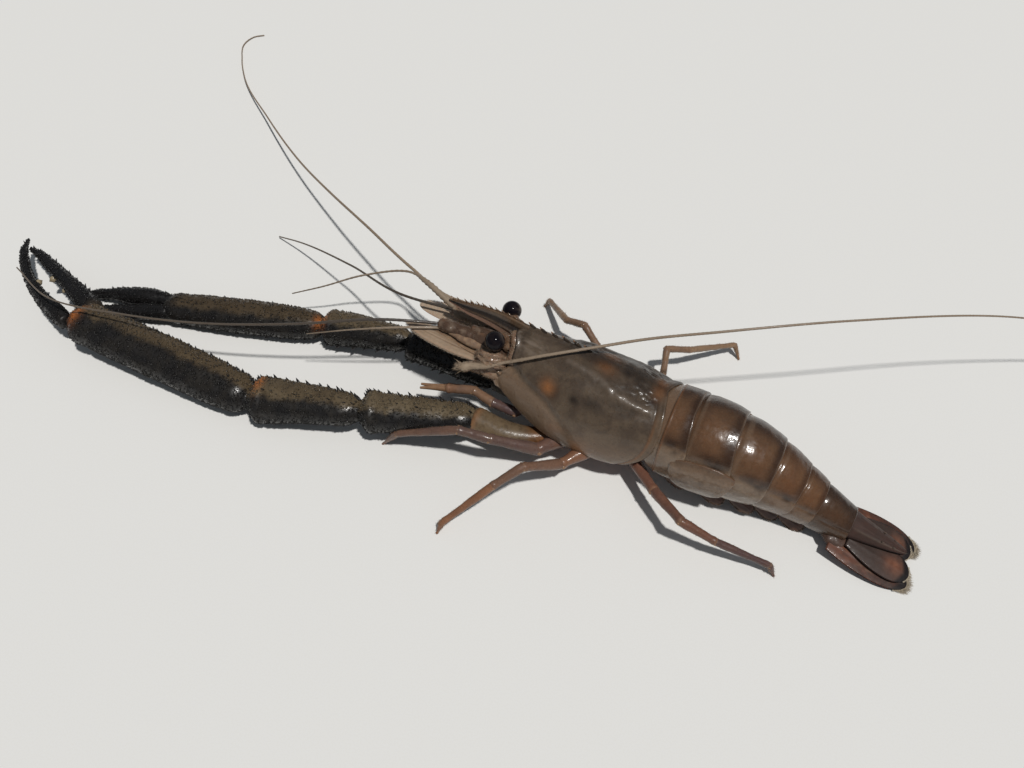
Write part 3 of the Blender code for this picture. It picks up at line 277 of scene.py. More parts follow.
def between_knots(values, fine):
    """Values round a closed ring of knots, with fine steps from each knot to the next."""
    count = values.shape[-1]
    where = np.arange(count * fine) / fine
    before = np.floor(where).astype(int)
    mix = where - before
    after = (before + 1) % count
    return values[..., before] * (1 - mix) + values[..., after] * mix


def rod(path, wide, high, sides, up=(0, 0, 1), dome=0.5, count=0):
    """Rings of a rod along a path, rounded at both ends."""
    path = np.array(path, float)
    wide = np.array(wide, float)
    high = np.array(high, float)
    if count:
        path, (wide, high) = finer(path, (wide, high), count)
    tangents, across, top = frames(path, up)
    angle = 2 * math.pi * (np.arange(sides) + 0.5) / sides
    ring = across[:, None] * (wide[:, None] * np.cos(angle))[..., None]
    ring = ring + top[:, None] * (high[:, None] * np.sin(angle))[..., None]
    grid = path[:, None] + ring
    start = []
    end = []
    for degrees in (82, 66, 48, 30, 14):
        out = math.sin(math.radians(degrees))
        keep = math.cos(math.radians(degrees))
        reach = dome * min(wide[0], high[0]) * out
        start.append(path[0] - tangents[0] * reach + ring[0] * keep)
        reach = dome * min(wide[-1], high[-1]) * out
        end.append(path[-1] + tangents[-1] * reach + ring[-1] * keep)
    return np.concatenate([np.array(start), grid, np.array(end[::-1])])


def normals_of(grid, wrap=True):
    """Outward directions at each point of a grid of rings."""
    if wrap:
        across = np.roll(grid, -1, axis=1) - np.roll(grid, 1, axis=1)
    else:
        across = np.gradient(grid, axis=1)
    along = np.gradient(grid, axis=0)
    normal = unit(np.cross(across, along))
    centre = grid.mean(axis=1, keepdims=True)
    if np.sum(normal * (grid - centre)) < 0:
        normal = -normal
    return normal


def raised(grid, lift, wrap=True):
    """The same grid with each point moved outward by its lift."""
    return grid + normals_of(grid, wrap) * lift[..., None]


def sample(values, i, j):
    """Values between the points of a grid."""
    rows, cols = values.shape[:2]
    i0 = np.clip(np.floor(i).astype(int), 0, rows - 2)
    j0 = np.floor(j).astype(int)
    fi = (i - i0).reshape((-1,) + (1,) * (values.ndim - 2))
    fj = (j - j0).reshape((-1,) + (1,) * (values.ndim - 2))
    j0 = j0 % cols
    j1 = (j0 + 1) % cols
    low = values[i0, j0] * (1 - fj) + values[i0, j1] * fj
    high = values[i0 + 1, j0] * (1 - fj) + values[i0 + 1, j1] * fj
    return low * (1 - fi) + high * fi


def scatter(grid, count, seed):
    """Seeded places spread evenly over a grid of rings."""
    draw = np.random.default_rng(seed)
    rows, cols = grid.shape[:2]
    along = np.linalg.norm(np.diff(grid, axis=0), axis=2)
    across = np.linalg.norm(np.roll(grid, -1, axis=1) - grid, axis=2)[:-1]
    total = np.cumsum((along * across).ravel())
    pick = np.searchsorted(total, draw.uniform(0, total[-1], count))
    pick = np.minimum(pick, len(total) - 1)
    i = pick // cols + draw.uniform(0, 1, count)
    j = pick % cols + draw.uniform(0, 1, count)
    return np.minimum(i, rows - 1.001), j, draw


class Piece:
    """Collects the closed solids of one visible piece, in millimetres."""

    def __init__(self):
        self.points = []
        self.zones = []
        self.faces = []
        self.uvs = []
        self.total = 0
        self.islands = 0

    def skin(self, grid, zones=None, fold=False):
        """A closed solid over rings; fold is for a wall whose rings hold both of its sides."""
        rows, cols = grid.shape[:2]
        i, j = np.meshgrid(np.arange(rows - 1), np.arange(cols), indexing="ij")
        k = (j + 1) % cols
        quads = np.stack([i * cols + j, i * cols + k, (i + 1) * cols + k, (i + 1) * cols + j], -1)
        quads = quads.reshape(-1, 4)
        u = np.stack([j, j + 1, j + 1, j], -1).reshape(-1, 4) / cols
        v = np.stack([i, i, i + 1, i + 1], -1).reshape(-1, 4) / (rows - 1)
        points = grid.reshape(-1, 3)
        paint = np.zeros((len(points), 4)) if zones is None else np.asarray(zones, float).reshape(-1, 4)
        blocks = [(quads, np.stack([u, v], -1))]
        last = (rows - 1) * cols
        if fold:
            half = cols // 2
            m = np.arange(half - 1)
            front = np.stack([m, m + 1, cols - 2 - m, cols - 1 - m], -1)
            spread = np.stack([m, m + 1, m + 1, m], -1) / cols
            zero = np.zeros_like(spread)
            blocks.append((front[:, ::-1], np.stack([spread[:, ::-1], zero], -1)))
            blocks.append((front + last, np.stack([spread, zero + 1.0], -1)))
        else:
            centres = np.array([grid[0].mean(axis=0), grid[-1].mean(axis=0)])
            points = np.concatenate([points, centres])
            paint = np.concatenate([paint, paint[:1], paint[-1:]])
            m = np.arange(cols)
            n = (m + 1) % cols
            first = rows * cols
            fan = np.stack([np.full(cols, first), n, m], -1)
            spread = np.stack([m + 0.5, m + 1, m], -1) / cols
            zero = np.zeros_like(spread)
            blocks.append((fan, np.stack([spread, zero], -1)))
            fan = np.stack([np.full(cols, first + 1), m + last, n + last], -1)
            spread = np.stack([m + 0.5, m, m + 1], -1) / cols
            blocks.append((fan, np.stack([spread, zero + 1.0], -1)))
        a, b, c, d = (points[quads[:, n]] for n in range(4))
        volume = np.sum(a * np.cross(b, c)) + np.sum(a * np.cross(c, d))
        island = self.islands
        self.islands += 1
        for faces, uv in blocks:
            if volume < 0:
                faces = faces[:, ::-1]
                uv = uv[:, ::-1]
            self.faces.append(faces + self.total)
            self.uvs.append((island, uv.reshape(-1, 2), np.zeros((uv.size // 2, 2))))
        self.points.append(points)
        self.zones.append(paint)
        self.total += len(points)
        return island

    def spikes(self, roots, aims, lengths, radii, zones, island, uv=None, **shape):
        """Many tapered spines, granules or bristles, each closed and sunk a little at its root."""
        sides = shape.get("sides", 5)
        sink = shape.get("sink", 0.35)
        waist = shape.get("waist", 0.62)
        flat = shape.get("flat", 1.0)
        roots = np.asarray(roots, float).reshape(-1, 3)
        count = len(roots)
        aims = unit(aims)
        lengths = np.broadcast_to(np.asarray(lengths, float), (count,))[:, None]
        radii = np.broadcast_to(np.asarray(radii, float), (count,))[:, None]
        guide = np.asarray(shape.get("guide", (0.13, 0.21, 0.97)), float)
        side = unit(np.cross(np.broadcast_to(guide, aims.shape), aims))
        top = np.cross(aims, side)
        angle = 2 * math.pi * np.arange(sides) / sides
        circle = side[:, None] * np.cos(angle)[:, None] * flat + top[:, None] * np.sin(angle)[:, None]
        base = (roots - aims * sink * radii)[:, None] + circle * radii[:, None]
        middle = roots + aims * lengths * 0.5
        middle = middle[:, None] + circle * (radii * waist)[:, None]
        tips = (roots + aims * lengths)[:, None]
        block = np.concatenate([base, middle, tips], axis=1)
        step = 2 * sides + 1
        start = (np.arange(count) * step)[:, None, None] + self.total
        j = np.arange(sides)
        k = (j + 1) % sides
        quads = (np.stack([j, k, k + sides, j + sides], -1)[None] + start).reshape(-1, 4)
        fans = np.stack([j + sides, k + sides, np.full(sides, 2 * sides)], -1)
        fans = (fans[None] + start).reshape(-1, 3)
        floor = (j[::-1][None, None] + start).reshape(-1, sides)
        patch = np.stack([np.cos(angle), np.sin(angle)], -1) * 0.0015
        inner = patch * 0.5
        uv = np.full((count, 2), 0.5) if uv is None else np.asarray(uv, float)
        quad_uv = np.stack([patch[j], patch[k], inner[k], inner[j]], 1)
        fan_uv = np.stack([inner[j], inner[k], inner * 0], 1)
        for faces, local, number in (
            (quads, quad_uv.reshape(-1, 2), sides * 4),
            (fans, fan_uv.reshape(-1, 2), sides * 3),
            (floor, patch[::-1], sides),
        ):
            self.faces.append(faces)
            self.uvs.append((island, np.repeat(uv, number, axis=0), np.tile(local, (count, 1))))
        paint = np.broadcast_to(np.asarray(zones, float), (count, 4))
        self.points.append(block.reshape(-1, 3))
        self.zones.append(np.repeat(paint, step, axis=0))
        self.total += count * step

    def make(self, part, look, slot, ending="shell", nodes=None):
        """The finished object, riding on the model in place of its solids."""
        name = f"{part}_{ending}"
        points = (np.concatenate(self.points) + SHIFT) * MM
        points[:, 2] = np.maximum(points[:, 2], 0.0)
        faces = [face for block in self.faces for face in block.tolist()]
        mesh = bpy.data.meshes.new(name)
        mesh.from_pydata(points.tolist(), [], faces)
        side = math.ceil(math.sqrt(self.islands))
        corners = []
        for island, local, offset in self.uvs:
            tile = np.array((island % side, island // side), float)
            corners.append((tile + 0.02 + 0.96 * local) / side + offset / side)
        layer = mesh.uv_layers.new(name="OFBake")
        layer.data.foreach_set("uv", np.concatenate(corners).ravel())
        colour = mesh.color_attributes.new("zones", "FLOAT_COLOR", "POINT")
        colour.data.foreach_set("color", np.concatenate(self.zones).ravel())
        mesh.materials.append(look)
        mesh.polygons.foreach_set("use_smooth", np.ones(len(faces), bool))
        mesh.update()
        obj = bpy.data.objects.new(name, mesh)
        bpy.context.scene.collection.objects.link(obj)
        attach(obj, "root")
        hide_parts(*(nodes or [part]))


# Materials


class Look:
    """A node-built material; sizes of its patterns are in millimetres."""

    def __init__(self, name):
        self.material = bpy.data.materials.new(name)
        self.material.use_nodes = True
        self.tree = self.material.node_tree
        self.shader = self.tree.nodes["Principled BSDF"]
        self.place = self.tree.nodes.new("ShaderNodeTexCoord").outputs["Object"]
        self.areas = None

    def link(self, output, socket):
        self.tree.links.new(output, socket)

    def put(self, value, socket):
        if hasattr(value, "is_output"):
            self.link(value, socket)
        elif hasattr(socket.default_value, "__len__") and len(value) == 3:
            socket.default_value = (*value, 1.0)
        else:
            socket.default_value = value

    def noise(self, size, detail=3.0, rough=0.55, twist=0.0):
        node = self.tree.nodes.new("ShaderNodeTexNoise")
        node.inputs["Scale"].default_value = 1.0 / (size * MM)
        node.inputs["Detail"].default_value = detail
        node.inputs["Roughness"].default_value = rough
        node.inputs["Distortion"].default_value = twist
        self.link(self.place, node.inputs["Vector"])
        return node.outputs["Fac"]

    def cells(self, size):
        node = self.tree.nodes.new("ShaderNodeTexVoronoi")
        node.inputs["Scale"].default_value = 1.0 / (size * MM)
        self.link(self.place, node.inputs["Vector"])
        return node.outputs["Distance"]

    def span(self, value, low, high, to_low=0.0, to_high=1.0):
        node = self.tree.nodes.new("ShaderNodeMapRange")
        node.interpolation_type = "SMOOTHSTEP"
        self.put(value, node.inputs["Value"])
        for name, number in (("From Min", low), ("From Max", high), ("To Min", to_low), ("To Max", to_high)):
            node.inputs[name].default_value = number
        return node.outputs["Result"]

    def math(self, kind, a, b):
        node = self.tree.nodes.new("ShaderNodeMath")
        node.operation = kind
        self.put(a, node.inputs[0])
        self.put(b, node.inputs[1])
        return node.outputs[0]

    def mix(self, amount, a, b):
        node = self.tree.nodes.new("ShaderNodeMix")
        node.data_type = "RGBA"
        self.put(amount, node.inputs[0])
        self.put(a, node.inputs[6])
        self.put(b, node.inputs[7])
        return node.outputs[2]

    def zone(self, channel):
        """One of the four painted areas: 0 to 3."""
        if self.areas is None:
            source = self.tree.nodes.new("ShaderNodeAttribute")
            source.attribute_name = "zones"
            split = self.tree.nodes.new("ShaderNodeSeparateColor")
            self.link(source.outputs["Color"], split.inputs["Color"])
            self.areas = [*split.outputs[:3], source.outputs["Alpha"]]
        return self.areas[channel]

    def bumps(self, *layers):
        """Chained bumps: each layer is a height, its depth in millimetres and its strength."""
        normal = None
        for height, depth, strength in layers:
            node = self.tree.nodes.new("ShaderNodeBump")
            node.inputs["Distance"].default_value = depth * MM
            node.inputs["Strength"].default_value = strength
            self.link(height, node.inputs["Height"])
            if normal is not None:
                self.link(normal, node.inputs["Normal"])
            normal = node.outputs["Normal"]
        self.link(normal, self.shader.inputs["Normal"])
        self.link(normal, self.shader.inputs["Coat Normal"])

    def finish(self, colour, rough, coat=0.0, coat_rough=0.1, soft=0.0, gleam=0.5):
        inputs = self.shader.inputs
        inputs["Specular IOR Level"].default_value = gleam
        self.put(colour, inputs["Base Color"])
        self.put(rough, inputs["Roughness"])
        inputs["Coat Weight"].default_value = coat
        inputs["Coat Roughness"].default_value = coat_rough
        inputs["IOR"].default_value = 1.48
        if soft:
            inputs["Subsurface Weight"].default_value = soft
            inputs["Subsurface Radius"].default_value = (1.0, 0.55, 0.35)
            inputs["Subsurface Scale"].default_value = 0.8 * MM
        return self.material


SPECK_STRENGTH = 0.4


def shell_look(
    name, base, deep, zones, rough=(0.2, 0.42), coat=0.3, soft=0.1, fine=0.05, gleam=0.32
):
    """Glossy, faintly clear shell: two mottled colours, painted areas and fine pits."""
    look = Look(name)
    colour = look.mix(look.span(look.noise(6.0, 4.0, 0.6, 0.6), 0.36, 0.66), base, deep)
    dots = look.span(look.noise(0.55, 2.0, 0.5), 0.56, 0.72)
    colour = look.mix(look.math("MULTIPLY", dots, SPECK_STRENGTH), colour, tuple(0.45 * c for c in base))
    for channel, tint in enumerate(zones):
        if tint is not None:
            colour = look.mix(look.zone(channel), colour, tint)
    veil = look.span(look.noise(0.9, 4.0, 0.7), 0.3, 0.75, 0.0, 0.22)
    colour = look.mix(veil, colour, tuple(0.3 * c for c in base))
    grain = look.noise(0.32, 3.0, 0.6)
    wave = look.noise(2.6, 3.0, 0.55, 0.4)
    pits = look.span(look.cells(0.7), 0.0, 0.35)
    look.bumps((wave, 0.5, 0.2), (pits, 0.05, 0.12), (grain, 0.08, fine * 5))
    gloss = look.span(look.noise(1.6, 4.0, 0.65), 0.3, 0.7, *rough)
    return look.finish(colour, gloss, coat, 0.09, soft, gleam)


CARAPACE_LOOK = shell_look(
    "carapace_look",
    (0.115, 0.083, 0.056),
    (0.072, 0.051, 0.036),
    [(0.215, 0.142, 0.09), (0.015, 0.0105, 0.0085), (0.27, 0.11, 0.038), (0.25, 0.2, 0.16)],
    rough=(0.24, 0.42),
    coat=0.16,
    gleam=0.3,
)
TAIL_LOOK = shell_look(
    "tail_look",
    (0.118, 0.066, 0.035),
    (0.083, 0.048, 0.028),
    [(0.02, 0.0115, 0.008), (0.215, 0.155, 0.108), (0.155, 0.066, 0.027), (0.028, 0.017, 0.012)],
    rough=(0.2, 0.38),
    coat=0.28,
    gleam=0.34,
)
BLADE_LOOK = shell_look(
    "rostrum_look",
    (0.105, 0.068, 0.04),
    (0.07, 0.04, 0.024),
    [(0.0095, 0.0075, 0.007), (0.26, 0.18, 0.12), (0.17, 0.075, 0.03), (0.2, 0.115, 0.08)],
)
CLAW_LOOK = shell_look(
    "claw_look",
    (0.0115, 0.0105, 0.0105),
    (0.021, 0.018, 0.015),
    [(0.086, 0.06, 0.033), (0.42, 0.13, 0.025), (0.0065, 0.006, 0.0065), (0.32, 0.26, 0.17)],
    rough=(0.2, 0.5),
    coat=0.06,
    soft=0.0,
    fine=0.09,
    gleam=0.36,
)
LEG_LOOK = shell_look(
    "leg_look",
    (0.135, 0.085, 0.063),
    (0.095, 0.06, 0.049),
    [(0.29, 0.105, 0.042), (0.085, 0.05, 0.052), (0.36, 0.24, 0.14), (0.036, 0.022, 0.02)],
    rough=(0.22, 0.42),
    coat=0.15,
)
FAN_LOOK = shell_look(
    "tail_fan_look",
    (0.068, 0.03, 0.022),
    (0.042, 0.024, 0.02),
    [(0.0075, 0.0055, 0.006), (0.2, 0.07, 0.035), (0.6, 0.51, 0.38), (0.04, 0.028, 0.024)],
    rough=(0.42, 0.62),
    coat=0.05,
    gleam=0.26,
)
PALE_LOOK = shell_look(
    "pale_look",
    (0.29, 0.195, 0.12),
    (0.21, 0.135, 0.082),
    [(0.085, 0.047, 0.028), (0.46, 0.36, 0.27), (0.34, 0.16, 0.1), (0.03, 0.022, 0.02)],
    rough=(0.22, 0.42),
    coat=0.3,
    soft=0.2,
)
FEELER_LOOK = shell_look(
    "feeler_look",
    (0.25, 0.195, 0.145),
    (0.2, 0.15, 0.11),
    [(0.03, 0.025, 0.023), (0.36, 0.28, 0.2), (0.2, 0.085, 0.038), (0.062, 0.034, 0.022)],
    rough=(0.3, 0.5),
    coat=0.1,
    soft=0.0,
)
BELLY_LOOK = shell_look(
    "belly_look",
    (0.2, 0.12, 0.075),
    (0.14, 0.07, 0.045),
    [(0.28, 0.1, 0.045), None, None, None],
    soft=0.2,
)
SWIMMERET_LOOK = shell_look(
    "swimmeret_look",
    (0.085, 0.035, 0.022),
    (0.05, 0.022, 0.017),
    [(0.16, 0.1, 0.06), None, None, None],
    rough=(0.35, 0.55),
    coat=0.1,
)


def eye_look():
    look = Look("eye_look")
    facet = look.cells(0.16)
    look.bumps((look.noise(1.2, 2.0), 0.05, 0.05), (facet, 0.02, 0.05))
    patches = look.span(look.noise(1.5, 3.0), 0.35, 0.7)
    colour = look.mix(patches, (0.0045, 0.004, 0.0065), (0.011, 0.008, 0.009))
    colour = look.mix(look.zone(0), colour, (0.02, 0.014, 0.012))
    colour = look.mix(look.zone(1), colour, (0.1, 0.078, 0.065))
    return look.finish(colour, look.span(facet, 0.0, 0.6, 0.05, 0.09), 0.04, 0.03, gleam=0.12)


EYE_LOOK = eye_look()


# Carapace


def carapace_point(along, angle, outset):
    """Places on the carapace: angle is measured from the top in degrees, right side positive."""
    row = carapace_at(along)
    half = row[..., 0] + outset
    high = row[..., 1] + outset
    deep = row[..., 2] + outset
    turn = np.radians(np.abs(angle))
    sine = np.sin(turn)
    cosine = np.cos(turn)
    keel = 0.16 * np.clip((6.0 - along) / 30.0, 0, 1)
    upper = half * sine * (1 - keel * cosine * cosine)
    lower = half * np.maximum(sine, 0) ** 0.62
    side = np.where(cosine >= 0, upper, lower)
    up = np.where(cosine >= 0, high * cosine, deep * cosine)
    return body(along, np.copysign(side, angle), up)


def line_distance(x, y, places):
    """Distance from each place to a bent line on the same plane."""
    best = np.full(np.shape(x), 1e9)
    for (ax, ay), (bx, by) in zip(places, places[1:]):
        length = (bx - ax) ** 2 + (by - ay) ** 2
        t = np.clip(((x - ax) * (bx - ax) + (y - ay) * (by - ay)) / length, 0, 1)
        best = np.minimum(best, np.hypot(x - ax - t * (bx - ax), y - ay - t * (by - ay)))
    return best


# Radius that turns an angle down the carapace's side into millimetres
SIDE_RADIUS = 15.0
# The groove that parts the pale front of the gill cover: distance along the body, angle down the side
GROOVE = [
    (-31.0, 56.0),
    (-28.0, 62.0),
    (-23.5, 68.0),
    (-19.0, 70.5),
    (-14.5, 74.0),
    (-11.0, 81.0),
    (-7.0, 90.0),
]
# The raised shoulder that ends in the sunken heart region
SHOULDER = [(-13.0, 25.0), (-7.0, 26.0), (-1.5, 27.0), (3.5, 35.0), (9.0, 38.0), (15.0, 37.0)]
# Dark and orange spots: strength, distance along the body, angle, length and width in millimetres
DARK_SPOTS = [
    (0.9, -5.0, -8.0, 8.0, 2.6),
    (0.85, 7.5, -6.0, 6.0, 2.4),
    (0.8, 12.0, -14.0, 5.0, 3.2),
    (0.8, -6.5, -59.0, 2.2, 1.4),
    (0.65, -1.0, -55.0, 3.4, 2.4),
    (0.55, 7.0, -46.0, 6.0, 2.0),
    (0.5, -12.6, -63.0, 1.6, 2.4),
    (0.6, -29.0, -14.0, 2.4, 3.0),
]
ORANGE_SPOTS = [
    (0.35, -1.0, -12.0, 3.4, 2.2),
    (0.4, 16.2, -9.0, 1.8, 3.2),
    (0.25, -10.0, -101.0, 3.0, 2.6),
]


def ridges(points, size, seed):
    """Seeded creases between 0 and 1, sharp along their tops."""
    return (1 - np.abs(2 * cloud(points, size, seed) - 1) * 1.6).clip(0, 1) ** 2


def make_carapace():
    columns = 100
    rows = 175
    t = (np.arange(rows + 1) / rows)[:, None] ** 1.05
    j = np.arange(-columns, columns + 1)[None, :]
    across = np.abs(j) / columns
    front = margin_at(across)[..., 0]
    rear = rear_at(across)[..., 0]
    along = front * (1 - t) + rear * t
    edge = carapace_at(along)[..., 3]
    down = across * edge
    angle = down * np.where(j >= 0, 1, -1)
    outer = carapace_point(along, angle, 0.0)
    inner = carapace_point(along, angle, -0.7)
    arc = np.radians(down) * SIDE_RADIUS
    left = np.where(j < 0, 1.0, 0.0)

    def spot(at_along, at_angle, long, round_by):
        """A soft spot, 1 at its middle, on the side that at_angle's sign gives; sizes in millimetres."""
        gap = (angle - at_angle) * math.radians(1.0) * SIDE_RADIUS
        return blob((along - at_along) / long, gap / round_by)

    near = smooth_step(along, -31.0, -28.0)
    crest = 1.45 * smooth_step(-along, 4.0, 30.0) + 0.15 * smooth_step(-along, 2.0, 8.0)
    crest = hill(arc, 0.0, 0.85) * crest
    ahead = along - front
    behind = rear - along
    rim = 0.28 * hill(ahead, 0.2, 0.7) - 0.2 * hill(ahead, 2.0, 0.8)
    rim = rim * smooth_step(arc, 1.5, 3.5)
    tail_rim = 0.14 * hill(behind, 0.3, 0.7) - 0.22 * hill(behind, 2.9, 0.6)
    tail_rim = tail_rim - 0.3 * smooth_step(-behind, -0.5, 0.0)
    groove = [(a, math.radians(g) * SIDE_RADIUS) for a, g in GROOVE]
    groove_far = line_distance(along, arc, groove)
    groove_line = np.interp(along, *zip(*groove))
    fade = smooth_step(-along, 6.0, 10.0)
    below = smooth_step(arc - groove_line, -0.8, 1.4) * smooth_step(-along, 3.0, 10.0)
    low = -0.22 * hill(groove_far, 0.0, 0.8) * fade - 0.16 * below
    shoulder = [(a, math.radians(g) * SIDE_RADIUS) for a, g in SHOULDER]
    ridge_far = line_distance(along, arc, shoulder)
    wave = cloud(outer, 7.0, 3)
    swell = cloud(outer, 3.4, 4)
    ridge = 0.42 * hill(ridge_far, 0.0, 1.5) * (0.5 + 1.0 * swell)
    heart = blob((along - 12.4) / 4.6, (arc - 5.4) / 4.0)
    crinkle = smooth_step(heart, 0.25, 0.7)
    creases = ridges(outer * np.array((0.7, 1.0, 1.0)), 1.9, 5)
    dent = -0.4 * hill(np.hypot(along + 26.5, arc - 16.7), 0.0, 1.1)
    upper = smooth_step(-arc, -9.0, -4.0) * smooth_step(along, -20.0, -8.0) * smooth_step(-along, -9.0, -4.0)
    lift = crest + rim + tail_rim + low + ridge * near + dent
    lift = lift - 0.5 * heart + crinkle * (creases - 0.4) * 0.34 + (wave - 0.5) * 0.5 * near
    lift = lift + 0.16 * (swell - 0.5) * near + 0.12 * upper * (ridges(outer, 2.6, 6) - 0.4)
    outer = raised(outer, lift, False)

    mottle = cloud(outer, 2.2, 9)
    broad = cloud(outer, 8.0, 10)
    tan = strongest(
        below * smooth_step(arc - groove_line, -0.5, 2.0) * (0.75 + 0.2 * broad),
        0.6 * smooth_step(arc + 4.0 * (broad - 0.5), 18.0, 30.0),
        0.35 * smooth_step(-behind, -3.4, -2.4),
    )
    dark = strongest(
        0.45 * smooth_step(along, -17.0, -5.0) * smooth_step(-arc - 3.0 * (broad - 0.5), -13.0, -7.0),
        0.75 * smooth_step(along, -24.0, -12.0) * smooth_step(-arc, -4.5, -1.5),
        0.8 * smooth_step(angle, -6.0, 14.0) * smooth_step(along, -26.0, -14.0),
        0.55 * spot(16.0, -28.0, 1.6, 4.0) + 0.45 * crinkle,
        0.9 * hill(ahead, 0.1, 0.5) * smooth_step(-down, -70, -50),
        *(strength * spot(*place) for strength, *place in DARK_SPOTS),
    )
    # The line 2.9 mm in front of the rear edge, where the groove runs, is darkened: painted shade in the
    # groove
    dark = dark * (0.55 + 0.8 * mottle) + 0.3 * hill(behind, 2.9, 0.5)
    orange = strongest(
        0.95 * spot(-15.7, -60.0, 2.4, 2.1) * (0.6 + 0.6 * mottle),
        0.6 * spot(-1.0, -118.0, 3.4, 3.6) * (0.4 + mottle),
        0.4 * hill(behind, 2.4, 0.5) * smooth_step(arc, 5.0, 20.0),
        *(strength * spot(*place) for strength, *place in ORANGE_SPOTS),
    )
    orange = np.maximum(orange, orange[:, ::-1] * 0.9)
    scratch = cloud(np.stack([along * 0.25, arc, arc * 0], -1), 0.9, 21)
    pale = strongest(
        0.5 * spot(-25.5, -29.0, 6.0, 3.4) * smooth_step(scratch, 0.4, 0.7),
        # Painted highlight: a pale line along the shoulder ridge
        0.22 * hill(ridge_far, 0.0, 0.9) * near,
        # The front rim and the lower edge: pale edges, with a painted highlight laid along them
        0.75 * hill(ahead, 0.25, 0.4) * smooth_step(down, 66, 78),
        0.5 * hill(edge - down, 1.0, 1.4) * smooth_step(-along, 4.0, 10.0),
    )
    dark = np.maximum(dark, dark[:, ::-1] * (1 - left))
    zones = tone_stack(tan, dark, orange, pale)
    ring = np.concatenate([outer, inner[:, ::-1]], axis=1)
    paint = np.concatenate([zones, zones[:, ::-1] * 0.4], axis=1)
    piece = Piece()
    island = piece.skin(ring, paint, fold=True)

    # Teeth of the crest, flat from side to side and leaning forward
    for i in range(6):
        place = -27.6 + 3.8 * i
        up = float(carapace_at(place)[1]) + 1.1 - 0.16 * i
        crest_tooth(piece, place, up, 2.4, 0.85, island)
        crest_tooth(piece, place - 1.5, up + 0.9, 0.9, 0.4, island, (0, 0, 0.9, 0.3))
    hairs = 150
    rng = np.random.default_rng(14)
    place = rng.uniform(-30.0, -7.0, hairs)
    high = carapace_at(place)[:, 1] + 1.3 * smooth_step(-place, 4.0, 30.0)
    aims = np.stack([np.full(hairs, -1.5), rng.normal(0, 0.25, hairs), rng.uniform(0.5, 1.4, hairs)], -1)
    roots = body(place, rng.uniform(-0.3, 0.3, hairs), high - 0.2)
    piece.spikes(roots, aims, rng.uniform(0.6, 1.1, hairs), 0.06, (0.2, 0, 0.5, 0.3), island, sides=3)
    for sign in (-1, 1):
        root = carapace_point(np.array(-32.5), np.array(sign * 76.0), -0.2)
        tip = carapace_point(np.array(-36.0), np.array(sign * 74.0), 0.6)
        piece.spikes(root, [tip - root], 2.6, 0.8, [[1, 0, 0, 0]], island, sides=8, sink=1.0, waist=0.55)
    piece.make("carapace", CARAPACE_LOOK, "body_shell")


def crest_tooth(piece, along, up, length, radius, island, zones=(0, 0.75, 0, 0)):
    root = body(along, 0, up)
    aim = unit(body(along - 2.0, 0, up + 1.3) - root)
    across = unit(body(along, 1.0, up) - root)
    guide = np.cross(across, aim)
    piece.spikes(
        root, [aim], length, radius, zones, island, sides=8, sink=0.9, waist=0.7, flat=0.55, guide=guide
    )


def make_thorax():
    sides = 40
    along = np.linspace(-34.0, 17.2, 60)[:, None]
    angle = 2 * math.pi * (np.arange(sides) + 0.5)[None, :] / sides
    row = thorax_at(along)
    up = np.where(np.cos(angle) > 0, row[..., 1], row[..., 2]) * np.cos(angle)
    grid = body(along, row[..., 0] * np.sin(angle), up)
    red = smooth_step(-up, 2.0, 8.0) * cloud(grid, 5.0, 31)
    piece = Piece()
    piece.skin(grid, np.stack([red, red * 0, red * 0, red * 0], -1))
    piece.make("thorax", BELLY_LOOK, "belly", "skin")


# Rostrum


